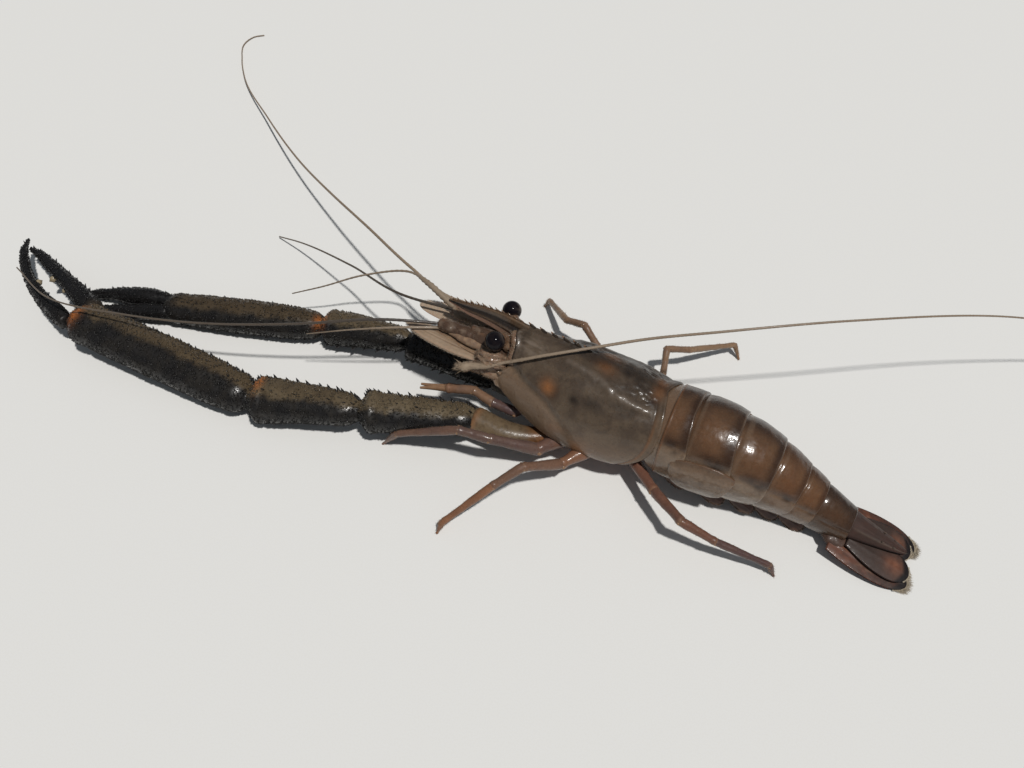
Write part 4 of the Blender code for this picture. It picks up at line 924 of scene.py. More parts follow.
def make_rostrum():
    count = 120
    t = np.arange(count) / (count - 1)
    along = ORBIT + 1.5 + (ROSTRUM_TIP - ORBIT - 1.0) * t
    f = np.clip((ORBIT - along) / (ORBIT - ROSTRUM_TIP), 0, 1)
    upper = 18.0 + 0.7 * np.sin(math.pi * np.minimum(f * 1.25, 1.0)) - 3.5 * f * f
    depth = 6.2 * np.maximum(1 - f, 0) ** 0.6 + 0.9
    depth = np.where(f < 0.7, depth, depth * (1.0 - 0.55 * (f - 0.7) / 0.3))
    half = 1.9 * np.maximum(1 - f, 0) ** 0.8 + 0.45
    lower = upper - depth
    middle = lower + 0.42 * depth
    thin = np.maximum(0.3, half * 0.34)
    knots = [
        (-0.9 * half, lower),
        (0.9 * half, lower),
        (1.08 * half, lower + 0.16 * (middle - lower)),
        (0.74 * half, lower + 0.66 * (middle - lower)),
        (half, middle),
        (0.8 * half, middle + 0.3),
        (thin, middle + 0.35 * (upper - middle)),
        (thin * 0.9, upper - 0.3),
        (thin * 0.5, upper),
    ]
    knots += [(-side, up) for side, up in knots[2:]][::-1]
    side = np.stack([k[0] for k in knots], -1)
    up = np.stack([k[1] for k in knots], -1)
    side = between_knots(side, 5)
    up = between_knots(up, 5)
    grid = body(along[:, None], side, up)
    share = (up - lower[:, None]) / depth[:, None]
    mottle = cloud(grid * np.array((0.5, 1.0, 1.0)), 1.6, 13)
    dark = np.minimum(1.3 * hill(share, 0.6, 0.15), 1.0) * smooth_step(-along[:, None], 30.0, 32.5)
    pale = 0.3 * smooth_step(share, 0.86, 0.97) * mottle + 0.3 * hill(share, 0.78, 0.05)
    rust = 0.22 * smooth_step(share, 0.7, 0.9) * smooth_step(mottle, 0.4, 0.7)
    pink = 0.45 + 0.3 * mottle + 0.4 * smooth_step(-along[:, None], 38.0, 50.0)
    pink = smooth_step(-share, -0.4, -0.3) * pink
    zones = tone_stack(dark * (0.8 + 0.3 * mottle), pale, rust, pink)
    piece = Piece()
    island = piece.skin(grid, zones)
    draw = random.Random(11)
    for i in range(12):
        place = -31.4 - 2.2 * i + draw.uniform(-0.3, 0.3)
        top = float(np.interp(-place, -along, upper))
        crest_tooth(piece, place, top - 0.1, 1.55 - 0.04 * i, 0.62 - 0.015 * i, island, (0.6, 0.2, 0.2, 0))
        crest_tooth(piece, place - 0.55, top + 0.35, 1.25, 0.3, island, (0, 0.9, 0.1, 0))
    for i in range(4):
        place = -42.0 - 3.6 * i
        bottom = float(np.interp(-place, -along, lower))
        root = body(place, 0, bottom + 0.2)
        aim = body(place - 2.0, 0, bottom - 1.1) - root
        piece.spikes(root, [aim], 1.9, 0.7, [(0.3, 0, 0, 0)], island, sides=8, sink=0.8)
    # Bristles between the teeth
    rng = np.random.default_rng(12)
    hairs = 260
    place = rng.uniform(-56.0, -31.0, hairs)
    top = np.interp(-place, -along, upper)
    roots = body(place, rng.uniform(-0.25, 0.25, hairs), top - 0.1)
    aims = body(place - 1.6, 0, top + rng.uniform(0.7, 1.6, hairs)) - body(place, 0, top)
    piece.spikes(roots, aims, rng.uniform(0.7, 1.3, hairs), 0.06, (0, 0.35, 0.6, 0), island, sides=3)
    piece.make("rostrum", BLADE_LOOK, "body_shell")


# Abdomen


# Steps from the middle of the back down to each lower edge
PLATE_COLUMNS = 70
PLATE_STEPS = np.arange(-PLATE_COLUMNS, PLATE_COLUMNS + 1)[None, :]
PLATE_SHARE = np.abs(PLATE_STEPS) / PLATE_COLUMNS


def abdomen_grid(along, grow, scallop):
    """Sideways, upward and angular places over rings; along holds a distance for each point."""
    row = abdomen_at(along)
    half = row[..., 0] + grow
    high = row[..., 1] + grow
    edge = row[..., 2] - scallop
    down = edge * PLATE_SHARE
    turn = np.radians(down)
    sine = np.sin(turn)
    cosine = np.cos(turn)
    side = np.where(cosine >= 0, half * sine, half * np.maximum(sine, 0) ** 0.7)
    up = np.where(cosine >= 0, high * cosine, row[..., 3] * cosine)
    side = np.where(PLATE_STEPS < 0, -side, side)
    return side, up, down


# How far each back plate stands out over its length
PLATE_SWELL = [
    (-0.3, -1.2),
    (0.0, -0.8),
    (0.05, -0.42),
    (0.13, -0.12),
    (0.3, 0.14),
    (0.55, 0.3),
    (0.8, 0.3),
    (1.06, 0.1),
]
# How far a plate's rear edge lies to the rear, from the back down the side in degrees
PLATE_SWEEP = [(0.0, -0.4), (20.0, -0.4), (45.0, 0.3), (70.0, 1.3), (95.0, 1.7), (130.0, 0.4)]


def make_segment(index):
    start = SEGMENT_ENDS[index - 1]
    end = SEGMENT_ENDS[index] - GAP
    rows = 52
    first = -0.12 if index == 1 else -0.09
    t = np.linspace(first, 1.0, rows)[:, None]
    sweep = np.interp(PLATE_SHARE * 120.0, *zip(*PLATE_SWEEP))
    if index == 6:
        sweep = sweep * 0.6
    reach = sweep * (1.0 if index < 5 else 0.75)
    along = start + (end - start) * t + reach * smooth_step(t, 0.15, 1.0)
    grow = np.interp(t, *zip(*PLATE_SWELL)) + 0 * PLATE_SHARE
    grow = grow * (1.0 if index < 4 else 0.8)
    scallop = 11.0 * np.abs(2 * np.clip(t, 0, 1) - 1) ** 2.6
    side, up, down = abdomen_grid(along, grow, scallop + 0 * PLATE_SHARE)
    outer = body(along, side, up)
    tt = t + 0 * PLATE_SHARE
    wave = cloud(outer, 6.0, 40 + index)
    ripple = cloud(outer, 2.0, 50 + index)
    lift = (wave - 0.5) * 0.4 + (ripple - 0.5) * 0.1
    lift = lift - 0.04 * hill(tt, 0.17, 0.03) + 0.06 * hill(tt, 0.97, 0.03)
    lobe_line = 62.0 if index < 4 else 58.0
    lobe_slope = lobe_line + 6 * (0.5 - tt)
    lift = lift - 0.26 * hill(down, lobe_slope + 4, 4.0) * smooth_step(tt, 0.1, 0.3)
    lift = lift + 0.2 * hill(down, lobe_slope + 24, 12.0) * smooth_step(tt, 0.15, 0.4) * (0.4 + wave)
    if index == 1:
        lift = lift + 0.16 * hill(along, 22.1, 0.35) - 0.3 * smooth_step(-along, -22.0, -21.4)
    outer = raised(outer, lift, False)
    edge_along = along[:, -1]
    edge_side = side[:, -1]
    edge_up = up[:, -1]
    belly = abdomen_at(edge_along)[:, 4]
    inner = [
        (edge_side - 0.5, edge_up + 0.15),
        (edge_side - 0.9, edge_up + 1.5),
        (edge_side - 2.4, belly - 0.6),
        (edge_side * 0.35, belly),
    ]
    ring = [outer]
    for a, b in inner:
        ring.append(body(edge_along, a, b)[:, None])
    for a, b in inner[::-1]:
        ring.append(body(edge_along, -a, b)[:, None])
    grid = np.concatenate(ring, axis=1)

    mottle = cloud(outer, 2.4, 60 + index)
    broad = cloud(outer, 5.0, 65 + index)
    signed = down * np.where(PLATE_STEPS < 0, -1, 1)
    back = smooth_step(-down, -lobe_line - 4, -lobe_line + 10)
    band = smooth_step(tt + 0.14 * (broad - 0.5), 0.68, 0.9) * back
    band = np.maximum(band, 0.92 * smooth_step(signed + 24 * (broad - 0.5), -12.0, 16.0) * back)
    line = hill(down - lobe_slope, -5.0, 5.5) * smooth_step(tt, 0.2, 0.55) * (0.35 + 1.1 * mottle)
    band = np.maximum(band * (0.7 + 0.5 * mottle), line * 0.85)
    spot = blob((signed + lobe_line + 2) / 7.0, (tt - 0.72) / 0.22)
    blotch = 0.9 * spot * smooth_step(mottle, 0.3, 0.6)
    pale = smooth_step(down - lobe_slope, 0, 9) * (0.7 + 0.5 * mottle)
    pale = pale * (1.0 - 0.5 * smooth_step(cloud(outer, 1.6, 70 + index), 0.5, 0.8))
    edge_line = 0.3 * smooth_step(-tt, -0.16, -0.1) * smooth_step(tt, 0.0, 0.04)
    edge_line = 0.4 * hill(tt, 0.985, 0.014) + edge_line
    pale = np.maximum(pale, edge_line)
    if index > 3:
        pale = pale * (1.0 - 0.28 * (index - 3))
    warm = 0.45 * blob((signed + 34) / 26.0, (tt - 0.45) / 0.4) * (0.4 + mottle)
    orange = (0.12 + warm) * back
    if index > 3:
        orange = orange + 0.2
    if index == 6:
        blotch = np.maximum(blotch, 0.45 + 0.2 * mottle + 0.3 * smooth_step(signed, -30, 10))
    if index == 1:
        strip = smooth_step(-along, -21.9, -21.4)
        pale = np.maximum(pale, 0.6 * strip)
        band = band * (1 - strip)
        orange = np.maximum(orange, 0.9 * hill(along, 22.1, 0.35))
    zones = tone_stack(band, pale, orange, blotch)
    zones[..., 2] *= 0.8
    tail = np.tile(zones[:, -1:], (1, 2 * len(inner), 1))
    piece = Piece()
    piece.skin(grid, np.concatenate([zones, tail], axis=1))
    if index == 2:
        for sign in (-1, 1):
            add_pleuron_lobe(piece, sign)
    piece.make(f"abdomen_{index}", TAIL_LOOK, "tail_shell")


def add_pleuron_lobe(piece, sign):
    """The big rounded side plate of the second segment, over its neighbours' edges."""
    first, last = 26.3, 44.0
    steps = 60
    rows = 40
    t = np.linspace(0, 1, steps)[:, None]
    along = first + (last - first) * t
    bulge = np.maximum(1 - np.abs(2 * t - 1) ** 2.6, 0.0) ** 0.45
    row = abdomen_at(along[:, 0])
    half = row[:, 0][:, None]
    high = row[:, 1][:, None]
    edge = row[:, 2][:, None]
    deep = row[:, 3][:, None]
    middle = 82.0 - 9.0 * t
    f = np.linspace(0, 1, rows)[None, :]
    top_angle = middle - 10.0 * bulge
    low_angle = middle + (edge + 2.0 - middle) * (0.1 + 0.9 * bulge)
    turn = np.radians(top_angle + (low_angle - top_angle) * f)
    sine = np.maximum(np.sin(turn), 0)
    cosine = np.cos(turn)
    tall = np.where(cosine > 0, high, deep)
    edge_fall = np.minimum(np.minimum(t, 1 - t) * 9, 1.0) * np.minimum(np.minimum(f, 1 - f) * 7 + 0.1, 1.0)
    blend = smooth_step(f, 0.0, 0.3)
    thick = 0.1 + (0.65 + 0.5 * edge_fall**0.5) * (0.25 + 0.75 * blend)
    outer = body(along, sign * (half + thick) * sine**0.7, (tall + thick) * cosine)
    lumps = (cloud(outer, 4.0, 91) - 0.5) * 0.5 + (cloud(outer, 1.6, 93) - 0.5) * 0.2
    outer = raised(outer, lumps, False)
    inner = body(along, sign * (half - 0.4) * sine**0.7, (tall - 0.4) * cosine)
    grid = np.concatenate([outer, inner[:, ::-1]], axis=1)
    mottle = cloud(outer, 2.6, 92)
    fine = cloud(outer, 1.1, 94)
    rim = 1 - np.minimum(np.minimum(np.minimum(t, 1 - t) * 16, 1.0), np.minimum(f * 30 + 0.4, (1 - f) * 18))
    rim = np.clip(rim, 0, 1)
    pale = np.clip(0.75 + 0.5 * mottle, 0, 1) * (1 - 0.3 * smooth_step(fine, 0.5, 0.8))
    pale = pale * (0.35 + 0.65 * blend)
    dark = 0.35 * rim + 0.55 * hill(f, 0.0, 0.12) * (0.3 + mottle)
    orange = 0.2 * mottle + 0.3 * hill(f, 0.0, 0.03) + 0.3 * hill(t, 1.0, 0.03)
    zones = tone_stack(dark, pale, orange, 0.35 * smooth_step(mottle, 0.6, 0.8))
    piece.skin(grid, np.concatenate([zones, zones[:, ::-1]], axis=1), fold=True)


def make_telson():
    count = 70
    t = np.linspace(0, 1, count)
    along = SEGMENT_ENDS[6] - 0.8 + (TELSON_TIP - SEGMENT_ENDS[6] + 0.8) * t
    half = 4.3 * np.maximum(1 - t, 0) ** 0.8 + 0.9 * np.sqrt(np.maximum(1 - t**10, 0.02))
    high = 4.3 * np.maximum(1 - t, 0) ** 1.1 + 1.3
    low = 0.9 + 0.2 * (1 - t)
    slope = [(1.0, 0.16), (0.82, 0.5), (0.62, 0.78), (0.34, 0.92), (0.14, 1.0)]
    knots = [(-1.0, 0), (-0.5, -0.05), (0.5, -0.05), (1.0, 0)] + slope
    knots += [(-across, above) for across, above in slope[::-1]]
    side, up = between_knots(np.array(knots).T, 5)
    grid = body(along[:, None], half[:, None] * side, low[:, None] + (high - low)[:, None] * up)
    ridge = hill(np.abs(side), 0.3, 0.1)[None, :] * smooth_step(t, 0.1, 0.3)[:, None]
    grid = raised(grid, 0.18 * ridge)
    thin = hill(np.abs(side) - 0.62, 0.0, 0.06)[None, :] * smooth_step(t, 0.02, 0.2)[:, None] * (up > 0.6)
    mottle = cloud(grid, 2.0, 98)
    dark = 0.8 * smooth_step(np.abs(side), 0.85, 0.98)[None, :] * (up < 0.5)
    dark = 0.25 * smooth_step(t, 0.3, 1.0)[:, None] + dark
    dark = np.maximum(dark, smooth_step(t, 0.93, 0.99)[:, None])
    zones = tone_stack(dark, 0.25 * mottle * (1 - dark), 0.2 * thin, (0.85 - 0.3 * mottle) * (1 - dark))
    piece = Piece()
    island = piece.skin(grid, zones)
    for f in (0.55, 0.75):
        place = SEGMENT_ENDS[6] + (TELSON_TIP - SEGMENT_ENDS[6]) * f
        for sign in (-1, 1):
            at_side = sign * (2.4 * (1 - f) + 0.6)
            at_up = (4.3 * (1 - f) ** 1.1 + 1.3) * 0.9
            root = body(place, at_side, at_up)
            aim = body(place + 2, at_side, at_up + 0.35) - root
            piece.spikes(root, [aim], 0.8, 0.3, [(0.3, 0, 0.12, 0)], island, sides=7)
    piece.make("telson", FAN_LOOK, "fan")


def leaf(start, aim, length, half, thick, up, outer, peak, first, count=70, rib=1.3):
    """Rings of a thin leaf with a midrib, and the share across and along of each point."""
    aim = unit(aim)
    side = unit(np.cross(up, aim))
    top = np.cross(aim, side)
    t = np.concatenate([np.linspace(0, 0.9, count - 16), 1 - 0.1 * (1 - np.linspace(0, 1, 17)[1:]) ** 2])
    swell = first + (1 - first) * np.sin(np.minimum(t / peak, 1.0) * math.pi / 2)
    taper = np.sqrt(np.maximum(1 - (np.maximum(t - peak, 0) / (1 - peak)) ** 2.6, 0.0006))
    width = half * np.where(t > peak, taper, swell)
    centre = np.array(start) + aim * (length * t)[:, None] + side * (outer * np.sin(math.pi * t))[:, None]
    steps = 20
    x = np.concatenate([np.linspace(-1, 1, steps), np.linspace(1, -1, steps)[1:-1]])
    low = np.arange(len(x)) < steps
    bulge = 1 - np.abs(x) ** 2.6
    ridge = hill(x, 0.0, 0.13)
    height = np.where(low, -0.8 * bulge, 0.75 * bulge + (rib - 0.75) * ridge)
    rim = 0.12 * np.where(low, -1, 1)
    body_thick = (thick * (1.0 - 0.45 * t))[:, None]
    fall = np.sqrt(np.maximum(1 - t**12, 0.001))[:, None]
    up_by = (height[None, :] * body_thick + rim[None, :] * bulge[None, :]) * fall
    grid = centre[:, None] + side * (width[:, None] * x[None, :])[..., None] + top * up_by[..., None]
    return grid, np.broadcast_to(x[None, :], up_by.shape), np.broadcast_to(t[:, None], up_by.shape), top


def leaf_between(root, tip, *shape, **more):
    """A leaf from its root to its tip."""
    reach = tip - root
    return leaf(root, reach, float(np.linalg.norm(reach)), *shape, **more)


UROPODS = {
    "left": (-1, (79.2, -7.2, -1.8), (104.4, -8.2, -1.9), (83.6, -4.4, 0.1), (103.6, -6.0, -0.5)),
    "right": (1, (80.4, 4.4, -1.6), (104.0, 3.6, -1.9), (83.6, 1.9, 0.0), (102.6, 1.2, -0.7)),
}


def fringe(piece, grid, top, island, low_t, length, seed, count, tone, sides=(-1, 1), radius=0.05):
    """Fine hairs along a leaf's rim, from the share low_t of its length on, pointing out and back."""
    rng = np.random.default_rng(seed)
    half = 19
    first = int(low_t * grid.shape[0])
    rim = grid[first:, 0]
    columns = np.zeros(len(rim))
    rows = np.arange(first, grid.shape[0])
    if len(sides) == 2:
        rim = np.concatenate([rim, grid[first:, half][::-1]])
        columns = np.concatenate([columns, np.full(len(rows), half)])
        rows = np.concatenate([rows, rows[::-1]])
    elif sides[0] > 0:
        rim = grid[first:, half]
        columns = columns + half
    steps = np.linalg.norm(np.diff(rim, axis=0), axis=1)
    distance = np.concatenate([[0.0], np.cumsum(steps)])
    place = rng.uniform(0, distance[-1], count)
    roots = np.stack([np.interp(place, distance, rim[:, n]) for n in range(3)], -1)
    ahead = np.stack([np.interp(place + 0.4, distance, rim[:, n]) for n in range(3)], -1)
    behind = np.stack([np.interp(place - 0.4, distance, rim[:, n]) for n in range(3)], -1)
    out = unit(np.cross(ahead - behind, top))
    centre = grid[grid.shape[0] * 2 // 3].mean(axis=0)
    out = out * np.where(np.sum(out * (roots - centre), axis=1) < 0, -1, 1)[:, None]
    tail = unit(grid[-1].mean(axis=0) - grid[0].mean(axis=0))
    aims = unit(out + tail * 0.75 + rng.normal(0, 0.17, (count, 3)))
    left = distance[-1] - place if len(sides) == 2 else distance[-1]
    ends = np.clip(np.minimum(place, left) / 3.0, 0.3, 1.0)
    across = np.interp(place, distance, columns) / (2 * half)
    uv = np.stack([across, np.interp(place, distance, rows) / grid.shape[0]], -1)
    grown = length * rng.uniform(0.45, 1.1, count) * ends
    piece.spikes(roots, aims, grown, radius, tone, island, uv, sides=3, sink=3.0, waist=0.7)


def make_uropods():
    for name, (sign, outer_root, outer_tip, inner_root, inner_tip) in UROPODS.items():
        ends = body(*outer_root), body(*outer_tip)
        grid, x, t, top = leaf_between(*ends, 4.5, 0.6, (0, 0, 1), sign * 0.5, 0.55, 0.72)
        piece = Piece()
        edge = smooth_step(np.abs(x), 0.86, 0.99)
        # The seam across the outer blade near its end
        seam = hill(t - 0.1 * x, 0.82, 0.012)
        dark = np.maximum(0.7 * edge, smooth_step(t + 0.08 * x * x, 0.85, 0.94))
        dark = np.maximum(dark, 0.8 * seam)
        mottle = cloud(grid, 2.2, 101)
        streak = cloud(grid * np.array((0.35, 1.0, 1.0)), 1.0, 102)
        red = (0.25 + 0.55 * hill(t, 0.15, 0.25)) * (0.3 + mottle) * (0.5 + streak)
        slate = 0.6 * smooth_step(streak + 0.2 * t, 0.5, 0.7)
        clear = 1 - dark
        zones = tone_stack(dark, red * clear, 0.12 * smooth_step(mottle, 0.6, 0.8) * clear, slate * clear)
        island = piece.skin(grid, zones)
        base = body(77.4, sign * 3.6, -2.2)
        middle = body(79.8, sign * 4.9, -1.6)
        tip = body(83.4, sign * 6.0 if sign < 0 else 4.6, -1.5)
        socket = rod([base, middle, tip], [2.2, 3.2, 2.2], [1.5, 1.8, 1.1], 28, count=24)
        socket = raised(socket, (cloud(socket, 1.8, 106) - 0.5) * 0.8)
        wet = cloud(socket, 1.5, 105)
        piece.skin(socket, tone_stack(0.3 * wet, 0.35 * wet, 0.1 * wet, 0.4 + 0 * wet))
        for number, (a, b, c) in enumerate(((80.6, 4.9, 0.3), (82.6, 5.5, 0.1), (84.2, 6.6, -0.6))):
            ball, tilt, _ = ball_grid(body(a, sign * b, c), 1.1 - 0.15 * number, (0, 0, 1), 14, 20)
            piece.skin(ball, tone_stack(0 * tilt, 0.25 + 0 * tilt, 0.15 + 0 * tilt, 0.4 + 0 * tilt))
        fringe(piece, grid, top, island, 0.74, 2.2, 110 + sign, 620, (0, 0, 0.9, 0), radius=0.034)
        piece.make(f"uropod_{name}_outer", FAN_LOOK, "fan")

        ends = body(*inner_root), body(*inner_tip)
        grid, x, t, top = leaf_between(*ends, 5.1, 0.5, (0, 0, 1), 0.0, 0.6, 0.5, rib=1.05)
        piece = Piece()
        edge = smooth_step(np.abs(x), 0.84, 0.98)
        dark = np.maximum(0.8 * edge, smooth_step(t + 0.09 * x * x, 0.86, 0.94))
        mottle = cloud(grid, 1.4, 103)
        spot = blob((t - 0.74) / 0.16, (x - 0.1) / 0.5)
        grey = 0.75 * (1 - spot) * smooth_step(-t, -0.9, -0.5)
        clear = 1 - dark
        red = 0.95 * spot * (0.3 + 1.1 * mottle)
        zones = tone_stack(dark, red * clear, 0.06 * mottle * clear, grey * clear)
        island = piece.skin(grid, zones)
        fringe(piece, grid, top, island, 0.84, 1.5, 120 + sign, 380, (0, 0, 0.9, 0), radius=0.034)
        piece.make(f"uropod_{name}_inner", FAN_LOOK, "fan")


PLEOPODS = [
    (1, 22.6, 12.0, 6.4, 6.0, -17.0),
    (2, 33.6, 12.5, 6.8, 5.0, -18.0),
    (3, 45.6, 11.2, 5.9, 4.0, -22.0),
    (4, 56.2, 9.4, 5.0, 3.0, -24.0),
    (5, 65.0, 9.0, 4.3, 3.0, -18.0),
]


def heading(turn, pitch):
    a = math.radians(turn)
    b = math.radians(pitch)
    return np.array((math.cos(a) * math.cos(b), math.sin(a) * math.cos(b), math.sin(b)))


def make_pleopods():
    for index, along, length, side, turn, pitch in PLEOPODS:
        for sign, side_name in ((-1, "left"), (1, "right")):
            belly = float(abdomen_at(along)[4])
            root = body(along, sign * side, belly + 0.6)
            knee = body(along - 0.4, sign * (side + 1.0), belly - 3.2)
            aim = heading(sign * turn, pitch)
            piece = Piece()
            stalk = rod([root, knee], [1.5, 1.3], [1.3, 1.1], 20, count=12)
            piece.skin(stalk)
            grid, x, _, top = leaf(
                knee - aim * 0.8, aim, length, 2.4, 0.35, (0, sign * 0.9, 0.5), 0, 0.68, 0.38, 40, 1.1
            )
            grid[..., 2] = np.maximum(grid[..., 2], 0.02)
            pale = 0.4 * smooth_step(np.abs(x), 0.6, 1.0)
            island = piece.skin(grid, np.stack([pale, pale * 0, pale * 0, pale * 0], -1))
            fringe(piece, grid, top, island, 0.2, 0.9, 130 + index * 2 + sign, 420, (0.5, 0, 0, 0))
            piece.make(f"pleopod_{index}_{side_name}", SWIMMERET_LOOK, "swimmeret", "blade")


# Head


def ball_grid(centre, radius, aim, rows=40, sides=56):
    aim = unit(aim)
    side = unit(np.cross((0.0, 0.0, 1.0), aim))
    top = np.cross(aim, side)
    tilt = np.linspace(0.03, math.pi - 0.03, rows)[:, None]
    turn = 2 * math.pi * np.arange(sides)[None, :] / sides
    out = aim * np.cos(tilt)[..., None] + side * (np.sin(tilt) * np.cos(turn))[..., None]
    out = out + top * (np.sin(tilt) * np.sin(turn))[..., None]
    return np.array(centre) + out * radius, tilt + 0 * turn, turn + 0 * tilt


def make_eyes():
    for sign, side_name in ((-1, "left"), (1, "right")):
        centre = body(-36.0, -9.0, 14.4) if sign < 0 else body(-39.0, 8.4, 14.1)
        root = body(-33.0, sign * 3.4, 9.2)
        bend = body(-35.4, sign * 4.6, 12.0)
        aim = unit(centre - bend)
        piece = Piece()
        grid, tilt, turn = ball_grid(centre, EYE_RADIUS, aim)
        rim = 0.8 * smooth_step(tilt, 2.2, 2.5)
        around = (turn + (2.2 if sign < 0 else 0.4)) % (2 * math.pi)
        haze = 0.85 * hill(tilt, 1.7, 0.45) * hill(around, math.pi, 0.7)
        haze = haze * smooth_step(cloud(grid, 1.2, 140), 0.35, 0.6)
        piece.skin(grid, tone_stack(rim, haze, rim * 0, rim * 0))
        piece.make(f"eye_{side_name}", EYE_LOOK, "eye", "ball")
        piece = Piece()
        near = centre - aim * (EYE_RADIUS - 0.9)
        cup = centre - aim * 0.55
        path = [root, bend, bend + (near - bend) * 0.6, near, cup]
        thick = [1.6, 1.9, 2.15, 2.3, 2.3] if sign < 0 else [1.5, 1.7, 1.8, 1.7, 1.5]
        stalk = rod(path, thick, thick, 48, dome=0.02, count=50)
        mottle = cloud(stalk, 1.6, 141)
        share = np.linspace(0, 1, len(stalk))[:, None] + 0 * mottle
        brown = 0.35 + 0.5 * smooth_step(mottle, 0.4, 0.7)
        dark = 0.35 * smooth_step(share, 0.8, 0.95) + 0.3 * smooth_step(cloud(stalk, 0.8, 142), 0.5, 0.7)
        zones = tone_stack(brown, 0.2 * smooth_step(-mottle, -0.4, -0.2), 0.1 + 0 * brown, dark)
        piece.skin(stalk, zones)
        piece.make(f"eyestalk_{side_name}", PALE_LOOK, "pale_flesh", "skin")


def bristles(piece, grid, island, count, seed, length, radius, lean, tone):
    """Fine hairs spread over rings, leaning along lean."""
    i, j, rng = scatter(grid, count, seed)
    normal = normals_of(grid)
    roots = sample(grid, i, j)
    out = sample(normal, i, j)
    aims = out + np.asarray(lean) + rng.normal(0, 0.25, (count, 3))
    uv = np.stack([j / grid.shape[1], i / (grid.shape[0] - 1)], -1)
    grown = length * rng.uniform(0.6, 1.2, count)
    piece.spikes(roots, aims, grown, radius, tone, island, uv, sides=3, sink=3.0)


def make_antennules():
    for sign, side_name in ((-1, "left"), (1, "right")):
        piece = Piece()
        lengths = [
            ([(-34.6, 3.2, 6.6), (-39.5, 3.7, 8.6), (-44.0, 3.9, 8.4)], [2.3, 2.9, 2.4], [2.0, 2.4, 2.0]),
            ([(-43.2, 3.9, 8.4), (-48.0, 4.0, 8.1), (-51.0, 4.1, 7.9)], [2.3, 2.5, 2.1], [1.9, 2.0, 1.7]),
            ([(-50.4, 4.1, 7.9), (-54.0, 4.1, 7.7), (-57.2, 4.2, 7.4)], [2.1, 2.4, 1.9], [1.6, 1.9, 1.5]),
            ([(-33.6, 1.9, 9.0), (-39.0, 2.2, 9.9), (-46.5, 2.6, 9.6)], [1.9, 2.0, 1.3], [1.9, 1.9, 1.2]),
            ([(-32.5, 2.6, 10.6), (-35.6, 2.4, 11.6), (-38.6, 2.6, 11.2)], [1.3, 1.7, 1.1], [1.2, 1.6, 1.0]),
        ]
        for number, (places, wide, high) in enumerate(lengths):
            path = [body(a, sign * b, c) for a, b, c in places]
            grid = rod(path, wide, high, 36, count=34)
            creases = ridges(grid * np.array((0.4, 1, 1)), 0.9, 158 + number) - 0.4
            lumps = cloud(grid, 1.7, 150 + number) - 0.5 + 0.45 * creases
            grid = raised(grid, lumps * 0.5)
            mottle = cloud(grid, 1.1, 153 + number)
            dark = 0.3 * smooth_step(mottle, 0.5, 0.7)
            rust = 0.55 * smooth_step(mottle, 0.45, 0.7) + 0.1
            brown = 0.95 - 0.5 * smooth_step(cloud(grid, 2.0, 159 + number), 0.5, 0.75)
            if number == 4:
                brown = brown * 0.45
            pale = 0.12 * mottle
            # The right antennule is painted paler and pinker than the left: its own pink tone, with painted
            # light where it lies in the rostrum's shade
            if sign > 0:
                brown = brown * 0.2
                pale = 0.5 + 0.4 * mottle
            zones = tone_stack(dark * 0.6, pale, rust, brown)
            island = piece.skin(grid, zones)
            seed = 156 + number + sign
            bristles(piece, grid, island, 160, seed, 0.9, 0.045, (-1.0, 0, 0.1), (0, 0.3, 0.2, 0.3))
        piece.make(f"antennule_{side_name}", FEELER_LOOK, "feeler")


WHIP_SIDES = 14


def whip(part, path, radii, zones_of, nodes=None, step=0.9, ringed=0.05, extra=None):
    """A ringed whip along smooth places."""
    path = np.array(path, float)
    length = float(np.sum(np.linalg.norm(np.diff(path, axis=0), axis=1)))
    count = int(length / step)
    path, (thick,) = finer(path, (radii,), count)
    phase = np.arange(count) % 2
    thick = thick * (1 + ringed * (phase - 0.5) * 2)
    grid = rod(path, thick, thick, WHIP_SIDES, dome=0.6)
    share = np.linspace(0, 1, len(grid))[:, None] + np.zeros((1, WHIP_SIDES))
    piece = Piece()
    island = piece.skin(grid, zones_of(share))
    if extra:
        extra(piece, grid, island)
    piece.make(part, FEELER_LOOK, "feeler", nodes=nodes)


def fading_whip(part, places, count, first, last, zones_of, nodes=None):
    """A whip through places that thins from its first radius to its last."""
    radii = [first + (last - first) * (i / (count - 1)) ** 0.8 for i in range(count)]
    whip(part, curve_points(places, count), radii, zones_of, nodes)


